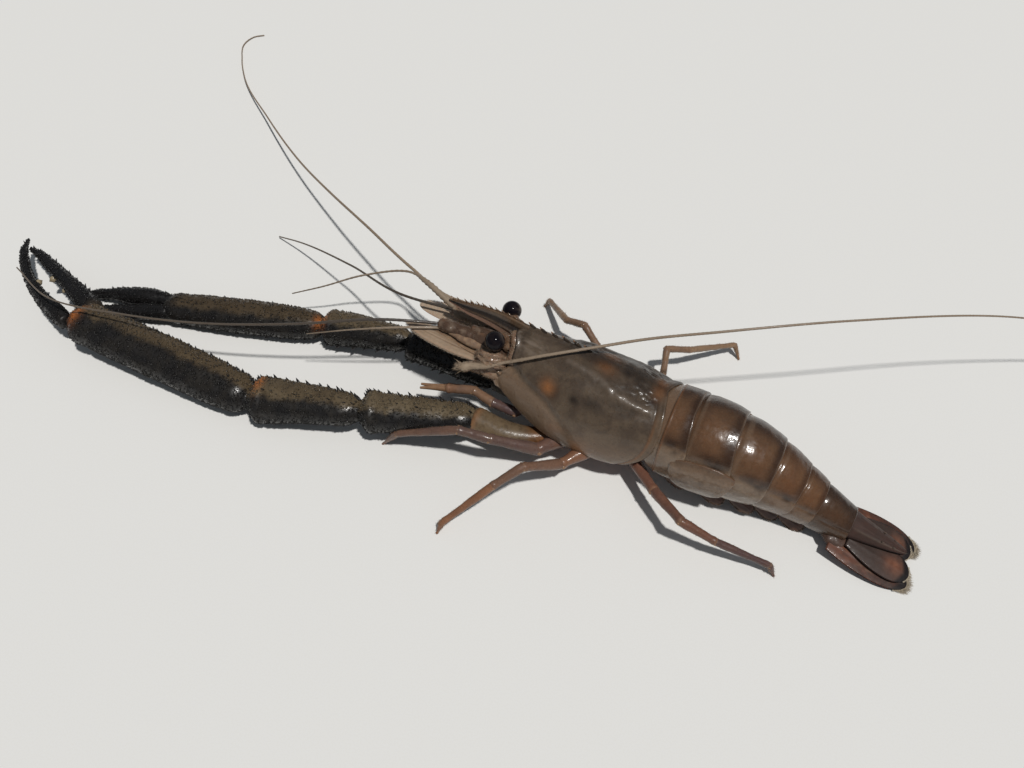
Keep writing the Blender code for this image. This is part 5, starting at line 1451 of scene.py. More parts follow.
def make_feelers():
    left_long = [
        body(-56.6, -4.4, 7.7),
        (-69.8, -14.8, 31.0),
        (-98.2, -29.2, 28.0),
        (-126.5, -40.6, 24.5),
        (-153.5, -48.0, 21.5),
        (-184.0, -53.0, 18.6),
        (-208.0, -46.2, 14.6),
    ]

    def dark_whip(share):
        return tone_stack(0.95 - 0.25 * share, 0.25 * share, share * 0, share * 0)

    def pale_whip(share):
        return tone_stack(share * 0.35, 0.55 - 0.4 * share, share * 0, share * 0)

    def golden_whip(share):
        return tone_stack(0.3 * share, 0.42 + 0.53 * (1 - share) ** 9, 0.06 + 0 * share, 0.02 + 0 * share)

    fading_whip("antennule_whip_left", left_long, 40, 0.5, 0.24, dark_whip)
    left_short = [body(-56.8, -5.4, 6.6), (-65.8, -14.4, 29.0), (-79.6, -21.2, 27.3), (-94.0, -27.4, 23.5)]
    fading_whip("antennule_branch_left", left_short, 20, 0.5, 0.16, pale_whip)
    right_long = [
        body(-56.8, 4.0, 7.9),
        (-72.5, -1.0, 26.6),
        (-102.0, 7.9, 18.0),
        (-133.0, 16.7, 6.5),
        (-146.0, 19.4, 0.9),
    ]
    fading_whip("antennule_whip_right", right_long, 32, 0.5, 0.24, dark_whip)
    right_short = [
        body(-57.0, 5.2, 7.3),
        (-70.6, 7.0, 27.8),
        (-76.5, 9.2, 26.0),
        (-93.0, 3.7, 21.6),
        (-106.0, -3.6, 16.2),
        (-116.0, -9.0, 12.6),
    ]
    radii = [0.95, 1.05, 1.05, 1.0, 0.8] + [0.42 - 0.22 * i / 12 for i in range(13)]
    path = curve_points(right_short, len(radii))
    whip("antennule_branch_right", path, radii, pale_whip, ringed=0.12)
    right = [
        body(-45.0, 12.8, 3.0),
        body(-54.0, 12.4, 5.4),
        (-62.1, 7.3, 23.9),
        (-79.1, 12.3, 24.1),
        (-104.3, 23.3, 21.8),
        (-131.5, 36.7, 16.0),
        (-153.6, 48.6, 11.0),
        (-190.2, 71.6, 4.6),
        (-222.0, 94.3, 0.9),
        (-231.4, 104.6, 0.5),
        (-237.4, 114.2, 0.5),
        (-237.2, 120.3, 0.45),
        (-233.6, 124.1, 0.4),
    ]
    nodes = ["antenna_whip_right_base", "antenna_whip_right_tip"]
    fading_whip("antenna_whip_right", right, 56, 0.6, 0.24, golden_whip, nodes)
    # The stout root of the left whip, whose ragged end points forward
    lead = [
        (-42.2, -17.1, 26.3),
        (-41.2, -16.7, 26.6),
        (-40.0, -16.1, 27.0),
        (-37.7, -15.5, 27.7),
        (-35.4, -14.9, 28.4),
        (-32.8, -13.6, 29.3),
    ]
    left = [
        (-30.1, -12.1, 30.3),
        (-25.5, -10.5, 32.6),
        (-19.8, -8.4, 35.6),
        (-13.6, -4.6, 37.0),
        (-4.3, 1.9, 38.2),
        (5.1, 7.9, 40.0),
        (25.0, 18.6, 43.6),
        (57.2, 38.7, 45.5),
        (104.1, 72.8, 37.0),
        (128.0, 90.0, 26.0),
        (148.0, 104.0, 12.0),
    ]
    count = 60
    path = np.concatenate([lead, curve_points(left, count)])
    radii = [1.35, 1.5, 1.25, 1.05, 0.9, 0.7]
    radii += [0.24 + 0.28 * (1 - i / (count - 1)) ** 1.6 for i in range(count)]

    def fraying(piece, grid, island):
        threads = 90
        rng = np.random.default_rng(172)
        aims = np.array((-1.0, -0.3, -0.1)) + rng.normal(0, 0.35, (threads, 3))
        roots = np.array(lead[0]) + unit(rng.normal(0, 1, (threads, 3))) * 1.15
        piece.spikes(roots, aims, rng.uniform(1.6, 3.0, threads), 0.17, (0, 0.95, 0.1, 0), island, sides=4)
        bristles(piece, grid[:40], island, 260, 173, 0.7, 0.05, (-1.0, 0, 0), (0, 0.6, 0.1, 0))

    whip(
        "antenna_whip_left",
        path,
        radii,
        golden_whip,
        ["antenna_whip_left_base", "antenna_whip_left_tip"],
        step=0.6,
        extra=fraying,
    )


SCALES = {
    "left": ((-38.0, -6.8, 4.6), (-67.4, -7.0, 4.8)),
    "right": ((-38.4, 6.4, 5.0), (-70.4, 5.4, 3.0)),
}


def make_antenna_bases():
    for sign, side_name in ((-1, "left"), (1, "right")):
        piece = Piece()
        path = [body(-32.6, sign * 7.0, 1.2), body(-36.0, sign * 8.8, 2.2), body(-39.6, sign * 9.7, 2.8)]
        parts = [(path, [2.1, 2.2, 1.6], [2.0, 2.1, 1.5])]
        if sign < 0:
            path = [body(-38.6, -10.0, 2.4), body(-41.6, -11.2, 2.8), (-41.8, -16.6, 25.4)]
        else:
            path = [body(-39.0, 10.2, 1.2), body(-43.0, 12.0, 2.0), body(-46.0, 12.7, 2.8)]
        parts.append((path, [1.6, 1.5, 1.2], [1.4, 1.3, 1.1]))
        # The joint under the root of the scale
        path = [body(-32.8, sign * 6.0, 4.0), body(-36.2, sign * 7.8, 4.4), body(-39.4, sign * 7.6, 4.4)]
        parts.append((path, [2.4, 2.8, 2.0], [2.4, 2.7, 1.9]))
        if sign < 0:
            # The soft folds under the eye
            fold = [
                (-40.2, -11.4, 27.6),
                (-38.0, -11.9, 30.0),
                (-35.3, -12.4, 31.0),
                (-32.4, -11.3, 30.8),
                (-30.8, -9.6, 28.5),
            ]
            size = [0.6, 0.95, 1.05, 1.0, 0.8]
            for number in range(3):
                shift = np.array((0.3 * number, -0.75 * number, -1.0 * number))
                parts.append((list(np.array(fold) + shift), size, size))
            # The skin between the eye and the rim of the carapace
            across = np.linspace(0.1, 0.62, 14)
            front = margin_at(across)[..., 0]
            turn = -across * carapace_at(front)[..., 3]
            size = [0.9] + [1.8] * 12 + [0.9]
            parts.append((list(carapace_point(front + 0.1, turn, -1.9)), size, size))
        for number, (path, wide, high) in enumerate(parts):
            grid = rod(path, wide, high, 36, count=30 if number < 3 else 60)
            lumps = cloud(grid, 1.8, 160 + number) - 0.5 + 0.5 * (ridges(grid, 1.3, 168 + number) - 0.4)
            grid = raised(grid, lumps * (0.5 if number < 3 else 0.8))
            mottle = cloud(grid, 1.4, 162 + number)
            brown = 0.3 + 0.5 * smooth_step(mottle, 0.4, 0.65)
            if number == len(parts) - 1 and sign < 0:
                brown = 0.55 + 0.3 * mottle
            zones = tone_stack(brown, 0.35 * (1 - mottle), 0.3 * mottle, 0.2 * smooth_step(mottle, 0.6, 0.8))
            island = piece.skin(grid, zones)
            seed = 164 + number + sign
            bristles(piece, grid, island, 200, seed, 0.9, 0.05, (-1.2, 0, 0.2), (0, 0.4, 0.1, 0))
        end = parts[1][0][-1]
        hairs = 120
        rng = np.random.default_rng(170 + sign)
        aims = np.array((-1.0, 0, 0)) + rng.normal(0, 0.35, (hairs, 3))
        grown = rng.uniform(0.8, 2.0, hairs)
        piece.spikes(end + unit(aims) * 1.1, aims, grown, 0.07, (0, 0.5, 0, 0), 1, sides=3)
        piece.make(f"antenna_base_{side_name}", PALE_LOOK, "feeler")

        ends = [body(*place) for place in SCALES[side_name]]
        up = unit(body(-45, 0, 12) - body(-45, 0, 2))
        half = 4.1 if sign < 0 else 5.0
        grid, x, _, top = leaf_between(*ends, half, 0.6, up, sign * -0.5, 0.42, 0.68)
        piece = Piece()
        lines = 0.6 * hill(x, -0.3, 0.05) + 0.8 * hill(x, 0.28, 0.06) + 0.7 * hill(x, 0.02, 0.06)
        lines = lines + 0.5 * hill(x, 0.62, 0.06) + 0.3 * hill(x, -0.6, 0.05)
        outer = smooth_step(np.abs(x), 0.8, 0.98)
        mottle = cloud(grid * np.array((0.3, 1, 1)), 1.2, 171)
        lines = lines * (0.5 + 0.8 * cloud(grid * np.array((0.15, 1, 1)), 1.0, 176))
        pale = (0.35 + 0.35 * mottle) * np.clip(1 - lines, 0, 1)
        zones = tone_stack(0.7 * lines, pale, 0.25 * outer, 0 * mottle)
        if sign > 0:
            zones = tone_stack(0.2 * lines, 0.75 + 0.2 * mottle, 0.35 * outer, 0 * outer)
        island = piece.skin(grid, zones)
        inner_side = 1 if sign < 0 else -1
        fringe(piece, grid, top, island, 0.1, 1.1, 175 + sign, 500, (0, 0.7, 0, 0), (inner_side,), 0.045)
        if sign < 0:
            # The pale fold beside the scale's inner edge
            path = body((-36.6, -41.0, -47.0, -54.0), (-6.4, -6.6, -6.4, -5.6), (7.4, 7.6, 7.4, 6.6))
            fold = rod(path, [1.0, 1.4, 1.2, 0.5], [1.0, 1.3, 1.1, 0.5], 28, count=50)
            fold = raised(fold, (cloud(fold, 1.6, 178) - 0.5) * 0.6)
            spots = cloud(fold, 1.2, 179)
            brown = 0.75 * smooth_step(spots, 0.35, 0.6)
            piece.skin(fold, tone_stack(brown, 0.3 * spots, 0.2 * spots, 0 * spots))
            # The thin inner part of the scale under that fold
            path = body((-36.8, -43.0, -51.0, -60.0), (-5.8, -5.2, -4.8, -5.0), (5.2, 5.4, 5.2, 4.8))
            thin = rod(path, [2.6, 3.2, 2.6, 1.2], [0.7, 0.7, 0.6, 0.4], 36, up, count=50)
            spots = cloud(thin * np.array((0.4, 1, 1)), 1.0, 180)
            brown = 0.5 * smooth_step(spots, 0.4, 0.6)
            piece.skin(thin, tone_stack(brown, 0.25 * spots, 0.15 * spots, 0 * spots))
        piece.make(f"antenna_scale_{side_name}", PALE_LOOK, "pale_flesh")


# Limbs


LIMB_SIDES = 24
# How far each length reaches into its joints, as a share of its radius there
JOINT_REACH = 0.3


def limb_grids(joints, radii):
    """Rings of each length of a limb from joint to joint."""
    grids = []
    for start, end, first, last in zip(joints, joints[1:], radii, radii[1:]):
        start = np.array(start, float)
        end = np.array(end, float)
        aim = unit(end - start)
        length = float(np.linalg.norm(end - start))
        places = [-JOINT_REACH * first] + [length * part for part in (0.08, 0.5, 0.86, 0.96)]
        places.append(length + JOINT_REACH * last * 0.3)
        path = [start + aim * place for place in places]
        wide = [first * 0.93, first, (first + last) * 0.49, last * 0.99, last * 1.06, last * 0.9]
        grids.append(rod(path, wide, wide, LIMB_SIDES, (0, 0, 1), 0.35, count=44))
    return grids


WALKING_LEGS = {
    "leg_3_left": (
        (-7.0, -9.0, -9.6),
        [
            (-12.6, -23.2, 9.2),
            (-25.9, -30.5, 16.0),
            (-35.2, -32.7, 17.0),
            (-54.7, -38.6, 8.6),
            (-60.2, -40.1, 0.1),
        ],
        [3.0, 2.0, 1.6, 1.45, 1.15, 0.4],
    ),
    "leg_4_left": (
        (1.0, -9.0, -10.2),
        [
            (-3.6, -24.9, 10.0),
            (-12.0, -34.4, 16.0),
            (-17.9, -42.7, 12.5),
            (-27.9, -56.4, 3.2),
            (-28.4, -59.0, 0.1),
        ],
        [2.8, 1.7, 1.45, 1.3, 1.05, 0.4],
    ),
    "leg_5_left": (
        (13.6, -7.6, -10.2),
        [
            (25.3, -20.4, 10.5),
            (36.5, -27.8, 13.8),
            (47.4, -26.8, 9.5),
            (64.1, -23.4, 3.6),
            (66.4, -24.2, 0.1),
        ],
        [1.9, 1.6, 1.45, 1.2, 1.0, 0.4],
    ),
    "leg_3_right": (
        (-7.0, 8.0, -9.0),
        [(-16.0, 6.6, 6.0), (-31.0, 10.4, 8.2), (-40.4, 10.8, 7.2), (-58.0, 12.0, 2.6), (-62.0, 12.8, 0.1)],
        [2.2, 1.6, 1.5, 1.4, 1.1, 0.4],
    ),
    "leg_4_right": (
        (2.0, 8.6, -8.6),
        [(-2.6, 14.6, 8.4), (-19.4, 25.0, 14.0), (-26.8, 26.8, 10.5), (-38.1, 37.2, 3.6), (-39.9, 36.8, 0.1)],
        [2.0, 1.35, 1.25, 1.2, 1.0, 0.4],
    ),
    "leg_5_right": (
        (10.0, 7.8, -8.4),
        [(13.0, 15.0, 8.8), (8.8, 29.6, 12.8), (15.4, 35.1, 10.0), (27.5, 49.0, 4.2), (30.6, 47.0, 0.1)],
        [1.9, 1.15, 1.15, 1.1, 0.9, 0.4],
    ),
}


# How orange, purple and pale each leg is between its joints, and at its last length
LEG_TINTS = {
    "leg_3_left": ((0.05, 0.75, 0.12), (0.2, 0.4, 0.1)),
    "leg_4_left": ((0.22, 0.1, 0.12), (0.6, 0.0, 0.15)),
    "leg_5_left": ((0.4, 0.35, 0.0), (0.12, 0.75, 0.0)),
    "leg_3_right": ((0.1, 0.3, 0.3), (0.1, 0.2, 0.3)),
    "leg_4_right": ((0.2, 0.25, 0.3), (0.1, 0.1, 0.45)),
    "leg_5_right": ((0.2, 0.2, 0.4), (0.15, 0.1, 0.5)),
    "leg_1_left": ((0.1, 0.95, 0.05), (0.4, 0.4, 0.35)),
}


def limb_piece(joints, radii, seed, hairs, tint=((0.2, 0.3, 0.2), (0.2, 0.3, 0.2))):
    piece = Piece()
    grids = limb_grids(joints, radii)
    for number, grid in enumerate(grids):
        mottle = cloud(grid, 2.0, seed + number)
        patch = cloud(grid, 4.5, seed + 40 + number)
        share = np.linspace(0, 1, len(grid))[:, None] + 0 * mottle
        lumps = (cloud(grid, 1.4, seed) - 0.5) * 0.2 + (cloud(grid, 0.7, seed + 3) - 0.5) * 0.1
        grid = raised(grid, lumps)
        grid[..., 2] = np.maximum(grid[..., 2], 0.0)
        last = number >= len(grids) - 2
        warm, purple, pale = tint[1] if last else tint[0]
        joint = np.maximum(hill(share, 0.0, 0.07), hill(share, 0.97, 0.08))
        orange = np.maximum(0.55 * joint * mottle * 1.6, warm * (0.5 + patch))
        if number == 0:
            orange = np.maximum(orange, 0.5)
        dusk = purple * (0.5 + 0.9 * mottle) * (1 - 0.8 * joint)
        light = np.maximum(0.6 * joint * (1 - 0.5 * mottle), pale * (0.4 + patch))
        tip = smooth_step(share, 0.35, 0.8) * (number == len(grids) - 1)
        zones = tone_stack(orange, dusk, light, tip * 0.15)
        if number == len(grids) - 1:
            zones[..., 0] = np.maximum(zones[..., 0], 0.8 * tip)
        island = piece.skin(grid, zones)
        along = unit(np.array(joints[number + 1]) - np.array(joints[number]))
        if number:
            bristles(piece, grid, island, hairs, seed + 20 + number, 0.6, 0.04, along * 0.9, (0.3, 0, 0.5, 0))
        for side in (1, -1):
            knob = np.cross(along, (0, 0, 1.0)) * side * radii[number + 1] * 0.75
            knob = np.array(joints[number + 1]) + knob
            if number < len(grids) - 1 and knob[2] > 1.2:
                ball, tilt, _ = ball_grid(knob, radii[number + 1] * 0.42, along, 12, 16)
                piece.skin(ball, tone_stack(0.45 + 0 * tilt, 0 * tilt, 0.5 + 0 * tilt, 0 * tilt))
    return piece


def make_walking_legs():
    for seed, (name, (root, joints, radii)) in enumerate(WALKING_LEGS.items()):
        piece = limb_piece([body(*root)] + joints, radii, 200 + 30 * seed, 110, LEG_TINTS[name])
        piece.make(name, LEG_LOOK, "leg")


FIRST_LEGS = {
    "leg_1_left": [(-25.0, -15.6, 11.4), (-32.4, -16.2, 12.4), (-39.6, -15.4, 13.2), (-48.0, -17.9, 12.0)],
    "leg_1_right": [(-26.4, 3.4, 9.4), (-34.0, 4.6, 10.4), (-41.0, 5.2, 10.8), (-52.0, 4.6, 9.6)],
}


def make_small_front_limbs():
    for number, (name, joints) in enumerate(FIRST_LEGS.items()):
        sign = -1 if name.endswith("left") else 1
        root = body(-19.0, sign * 5.0, -6.4)
        radii = [1.8, 1.7, 1.6, 1.5, 1.7]
        piece = limb_piece([root] + joints, radii, 400 + 30 * number, 90, LEG_TINTS["leg_1_left"])
        end = np.array(joints[-1], float)
        aim = unit(end - np.array(joints[-2], float))
        across = unit(np.cross((0, 0, 1), aim))
        for spread in (-0.085, 0.085):
            reach = aim + across * spread
            path = [end - aim * 1.2 + across * spread * 8, end + reach * 4.2, end + reach * 9.0]
            grid = rod(path, [0.8, 0.75, 0.4], [1.1, 0.9, 0.4], 20, count=24)
            gold = cloud(grid, 1.6, 460)
            piece.skin(grid, tone_stack(0.35 + 0.3 * gold, 0 * gold, 0.3 + 0.4 * gold, 0 * gold))
        piece.make(name, LEG_LOOK, "leg")
    for sign, side_name in ((-1, "left"), (1, "right")):
        joints = [
            body(-25.0, sign * 3.4, -2.4),
            body(-33.0, sign * 3.6, -3.0),
            body(-41.0, sign * 3.0, -1.2),
            body(-48.6, sign * 2.3, -2.6),
        ]
        piece = limb_piece(joints, [1.9, 1.7, 1.5, 0.8], 470 + sign, 220)
        piece.make(f"jaw_leg_{side_name}", LEG_LOOK, "leg")


# Big claws


# Where the rings of each length of a claw lie between its joints
MERUS_PLACES = (0.0, 0.06, 0.3, 0.6, 0.86, 0.97, 1.0)
CARPUS_PLACES = (0.0, 0.06, 0.25, 0.55, 0.85, 0.96, 1.0)
PALM_PLACES = (0.0, 0.03, 0.12, 0.35, 0.6, 0.85, 0.97, 1.0)
GRAIN_SIZE = 0.34
# The share of the granules that are black
BLACK_GRAINS = 0.36


def spine_places(path, wide, high, rows, draw, lean):
    """Roots, directions and sizes of spines in rows along a limb, as in the solids."""
    path = np.array(path, float)
    tangents, sides, tops = frames(path, (0, 0, 1))
    total = len(path) - 1
    roots = []
    aims = []
    sizes = []
    for angle, count, size in rows:
        for i in range(count):
            t = (i + 0.5 + draw.uniform(-0.22, 0.22)) / count * total
            k = min(int(t), total - 1)
            f = t - k
            turn = math.radians(angle + draw.uniform(-7, 7))
            out = sides[k] * math.cos(turn) + tops[k] * math.sin(turn)
            w = wide[k] * (1 - f) + wide[k + 1] * f
            h = high[k] * (1 - f) + high[k + 1] * f
            centre = path[k] * (1 - f) + path[k + 1] * f
            reach = 1.0 / math.sqrt((math.cos(turn) / w) ** 2 + (math.sin(turn) / h) ** 2)
            roots.append(centre + out * reach * 0.97)
            aims.append(out + tangents[k] * lean)
            sizes.append(size * draw.uniform(0.8, 1.2))
    return np.array(roots), np.array(aims), np.array(sizes)


def add_article(piece, path, wide, high, rows, seed, paint_of, grains, sides=64, count=110):
    """One granular, spiny length of a claw."""
    grid = rod(path, wide, high, sides, (0, 0, 1), 0.45, count=count)
    lumps = cloud(grid, 5.0, seed) - 0.5
    grid = raised(grid, lumps * 0.5)
    grid[..., 2] = np.maximum(grid[..., 2], 0.05)
    share = np.clip((np.arange(len(grid)) - 5) / (len(grid) - 11), 0, 1)[:, None]
    angle = np.degrees(2 * math.pi * (np.arange(sides) + 0.5) / sides)[None, :]
    zones = paint_of(share + 0 * angle, angle + 0 * share, grid)
    island = piece.skin(grid, zones)
    i, j, rng = scatter(grid, grains, seed)
    out = sample(normals_of(grid), i, j)
    roots = sample(grid, i, j)
    lean = unit(np.array(path[-1]) - np.array(path[0]))
    tone = sample(zones, i, j)
    black = rng.uniform(0, 1, grains) < BLACK_GRAINS
    tone[black, 2] = np.maximum(tone[black, 2], 0.85)
    size = GRAIN_SIZE * rng.uniform(0.5, 1.25, grains)
    uv = np.stack([j / sides, i / (len(grid) - 1)], -1)
    piece.spikes(roots, out + lean * 0.7, size * 1.4, size * 0.8, tone, island, uv, sides=5, waist=0.62)
    draw = random.Random(seed)
    small = [(angle + turn, count, size * 0.6) for angle, count, size in rows for turn in (-11, 12)]
    for part in (rows, small):
        roots, aims, sizes = spine_places(path, wide, high, part, draw, 0.8)
        tone = (0.1, 0, 0.7, 0)
        piece.spikes(roots, aims, 1.5 * sizes, 0.43 * sizes, tone, island, sides=8, sink=0.8, waist=0.6)


def along_line(start, end, places, sag=0.0):
    start = np.array(start, float)
    end = np.array(end, float)
    return [start + (end - start) * t + np.array((0, 0, 1)) * sag * 4 * t * (1 - t) for t in places]


def claw_paint(brown_low, brown_high, orange_spots, black_from=2.0, seed=0, strength=1.0, grey=0.0):
    """Colours of a claw length: a brown stripe between two angles, orange at the joints."""

    def paint(share, angle, grid):
        mottle = cloud(grid, 2.6, 500 + seed)
        brown = smooth_step(angle + (mottle - 0.5) * 30, brown_low - 12, brown_low + 12)
        brown = brown * smooth_step(-angle + (mottle - 0.5) * 30, -brown_high - 12, -brown_high + 12)
        brown = brown * (0.7 + 0.5 * mottle) * strength
        brown = brown * (1 - smooth_step(share, black_from - 0.08, black_from + 0.08))
        black = smooth_step(share, black_from - 0.1, black_from + 0.1)
        orange = 0 * share
        for at, where, wide_share, wide_angle in orange_spots:
            turn = (angle - where + 180) % 360 - 180
            orange = np.maximum(orange, blob((share - at) / wide_share, turn / wide_angle))
        orange = orange * (0.5 + 0.9 * mottle)
        return tone_stack(brown, orange, black * 0.8, grey * brown * (0.4 + mottle))

    return paint


def make_left_claw():
    hip = body(-9.0, -7.0, -10.6)
    knee = np.array((-34.9, -23.6, 10.2))
    wrist = np.array((-68.8, -37.2, 9.2))
    palm_start = np.array((-104.6, -48.6, 6.3))
    palm_end = np.array((-177.0, -51.6, 9.6))

    piece = Piece()
    path = along_line(knee, wrist + (1.2, 0.5, 0), MERUS_PLACES, 0.4)
    wide = [3.8, 4.8, 5.5, 6.1, 6.6, 6.4, 4.8]
    high = [3.4, 4.2, 4.8, 5.4, 5.9, 5.6, 4.0]
    rows = [(150, 17, 1.4), (180, 9, 0.9), (90, 6, 0.8), (-25, 9, 0.7)]
    paint = claw_paint(66, 200, [], seed=1, grey=0.2)
    add_article(piece, path, wide, high, rows, 2, paint, 2600)
    hip_path = [hip, (-15.0, -18.6, 8.2), (-24.0, -22.6, 9.4), knee + (0.6, 0.4, 0)]
    grid = rod(hip_path, [2.8, 3.3, 4.0, 4.4], [2.8, 3.2, 3.6, 4.0], 40, count=60)
    mottle = cloud(grid, 3.0, 510)
    share = np.linspace(0, 1, len(grid))[:, None] + 0 * mottle
    speck = smooth_step(cloud(grid, 0.8, 512), 0.55, 0.7)
    pale = smooth_step(share, 0.35, 0.55) * (0.15 + 0.14 * mottle) * (1 - 0.5 * speck)
    red = 0.09 + 0.5 * smooth_step(-share, -0.5, -0.2) + 0.45 * hill(share, 0.93, 0.04)
    zones = tone_stack(0.85 + 0 * share, red * (0.4 + 0.5 * mottle), 0.3 * speck, pale)
    island = piece.skin(grid, zones)
    bristles(piece, grid, island, 220, 511, 0.5, 0.05, (-0.6, 0, 0.2), (0.6, 0, 0, 0.2))
    piece.make("claw_left_merus", CLAW_LOOK, "claw")

    piece = Piece()
    path = along_line(wrist + (-0.9, -0.1, 0), palm_start + (0.9, 0.4, 0), CARPUS_PLACES, 0.5)
    wide = [3.5, 4.8, 5.9, 6.8, 7.6, 7.4, 5.2]
    high = [3.0, 4.0, 5.0, 5.8, 6.5, 6.2, 4.4]
    rows = [(150, 18, 1.4), (182, 9, 1.0), (90, 7, 0.8), (-28, 9, 0.8)]
    paint = claw_paint(70, 200, [(0.93, 112, 0.045, 24)], seed=2, grey=0.12)
    add_article(piece, path, wide, high, rows, 3, paint, 3200)
    piece.make("claw_left_carpus", CLAW_LOOK, "claw")

    piece = Piece()
    path = along_line(palm_start + (-0.9, 0, 0), palm_end, PALM_PLACES)
    wide = [4.2, 6.0, 7.1, 7.7, 7.8, 7.4, 6.4, 4.2]
    high = [3.4, 5.0, 6.0, 6.5, 6.5, 6.0, 5.2, 3.6]
    rows = [(150, 34, 1.3), (180, 14, 0.9), (100, 9, 0.8), (50, 8, 0.8), (-28, 14, 0.8)]
    paint = claw_paint(92, 215, [(0.975, 84, 0.035, 34)], seed=3, grey=0.05)
    add_article(piece, path, wide, high, rows, 4, paint, 7000, count=200)
    fixed = [
        (-174.0, -46.4, 9.8),
        (-181.5, -43.8, 9.8),
        (-188.5, -41.6, 9.6),
        (-196.7, -39.2, 9.3),
        (-204.6, -36.9, 9.1),
        (-211.6, -35.0, 8.8),
        (-217.6, -34.1, 8.4),
    ]
    finger_wide = [3.6, 3.4, 2.9, 2.5, 2.1, 1.5, 0.6]
    finger_high = [4.2, 4.2, 3.6, 3.0, 2.3, 1.6, 0.6]
    paint = claw_paint(80, 200, [], 0.0, seed=4)
    rows = [(150, 10, 0.9), (100, 6, 0.7)]
    add_article(piece, fixed, finger_wide, finger_high, rows, 5, paint, 1500, 40, 80)
    teeth = [(-197.8, -41.2, 9.4), (-190.0, -43.8, 9.6)]
    aims = [(-0.2, -1.0, 0.1)] * 2
    piece.spikes(teeth, aims, [2.3, 1.4], [1.4, 1.0], (0, 0, 0, 1), 0, sides=12, sink=0.9, waist=0.85)
    piece.make("claw_left_palm", CLAW_LOOK, "claw")

    piece = Piece()
    moving = [
        (-179.4, -54.4, 9.8),
        (-186.0, -52.8, 9.8),
        (-194.4, -50.5, 9.6),
        (-202.9, -47.0, 9.3),
        (-210.7, -42.6, 9.1),
        (-215.9, -38.5, 9.0),
        (-219.3, -35.0, 8.9),
        (-221.6, -31.0, 8.8),
    ]
    wide = [2.7, 2.8, 2.3, 1.9, 1.6, 1.4, 1.0, 0.35]
    high = [2.8, 3.7, 3.2, 2.6, 2.1, 1.7, 1.2, 0.35]
    paint = claw_paint(0, 1, [], 0.0, seed=5)
    add_article(piece, moving, wide, high, [(-30, 9, 0.8), (60, 7, 0.7)], 6, paint, 1500, 40, 90)
    tooth = (-201.4, -46.0, 9.5)
    piece.spikes(tooth, [(0.35, 1.0, 0.1)], 2.0, 1.3, [(0, 0, 0, 1)], 0, sides=12, sink=0.9, waist=0.85)
    tip = (-220.8, -32.4, 8.85)
    piece.spikes(tip, [(-0.5, 1.0, 0.0)], 1.7, 0.55, [(0.6, 0, 0, 0.5)], 0, sides=10, sink=0.6, waist=0.7)
    piece.make("claw_left_dactyl", CLAW_LOOK, "claw")


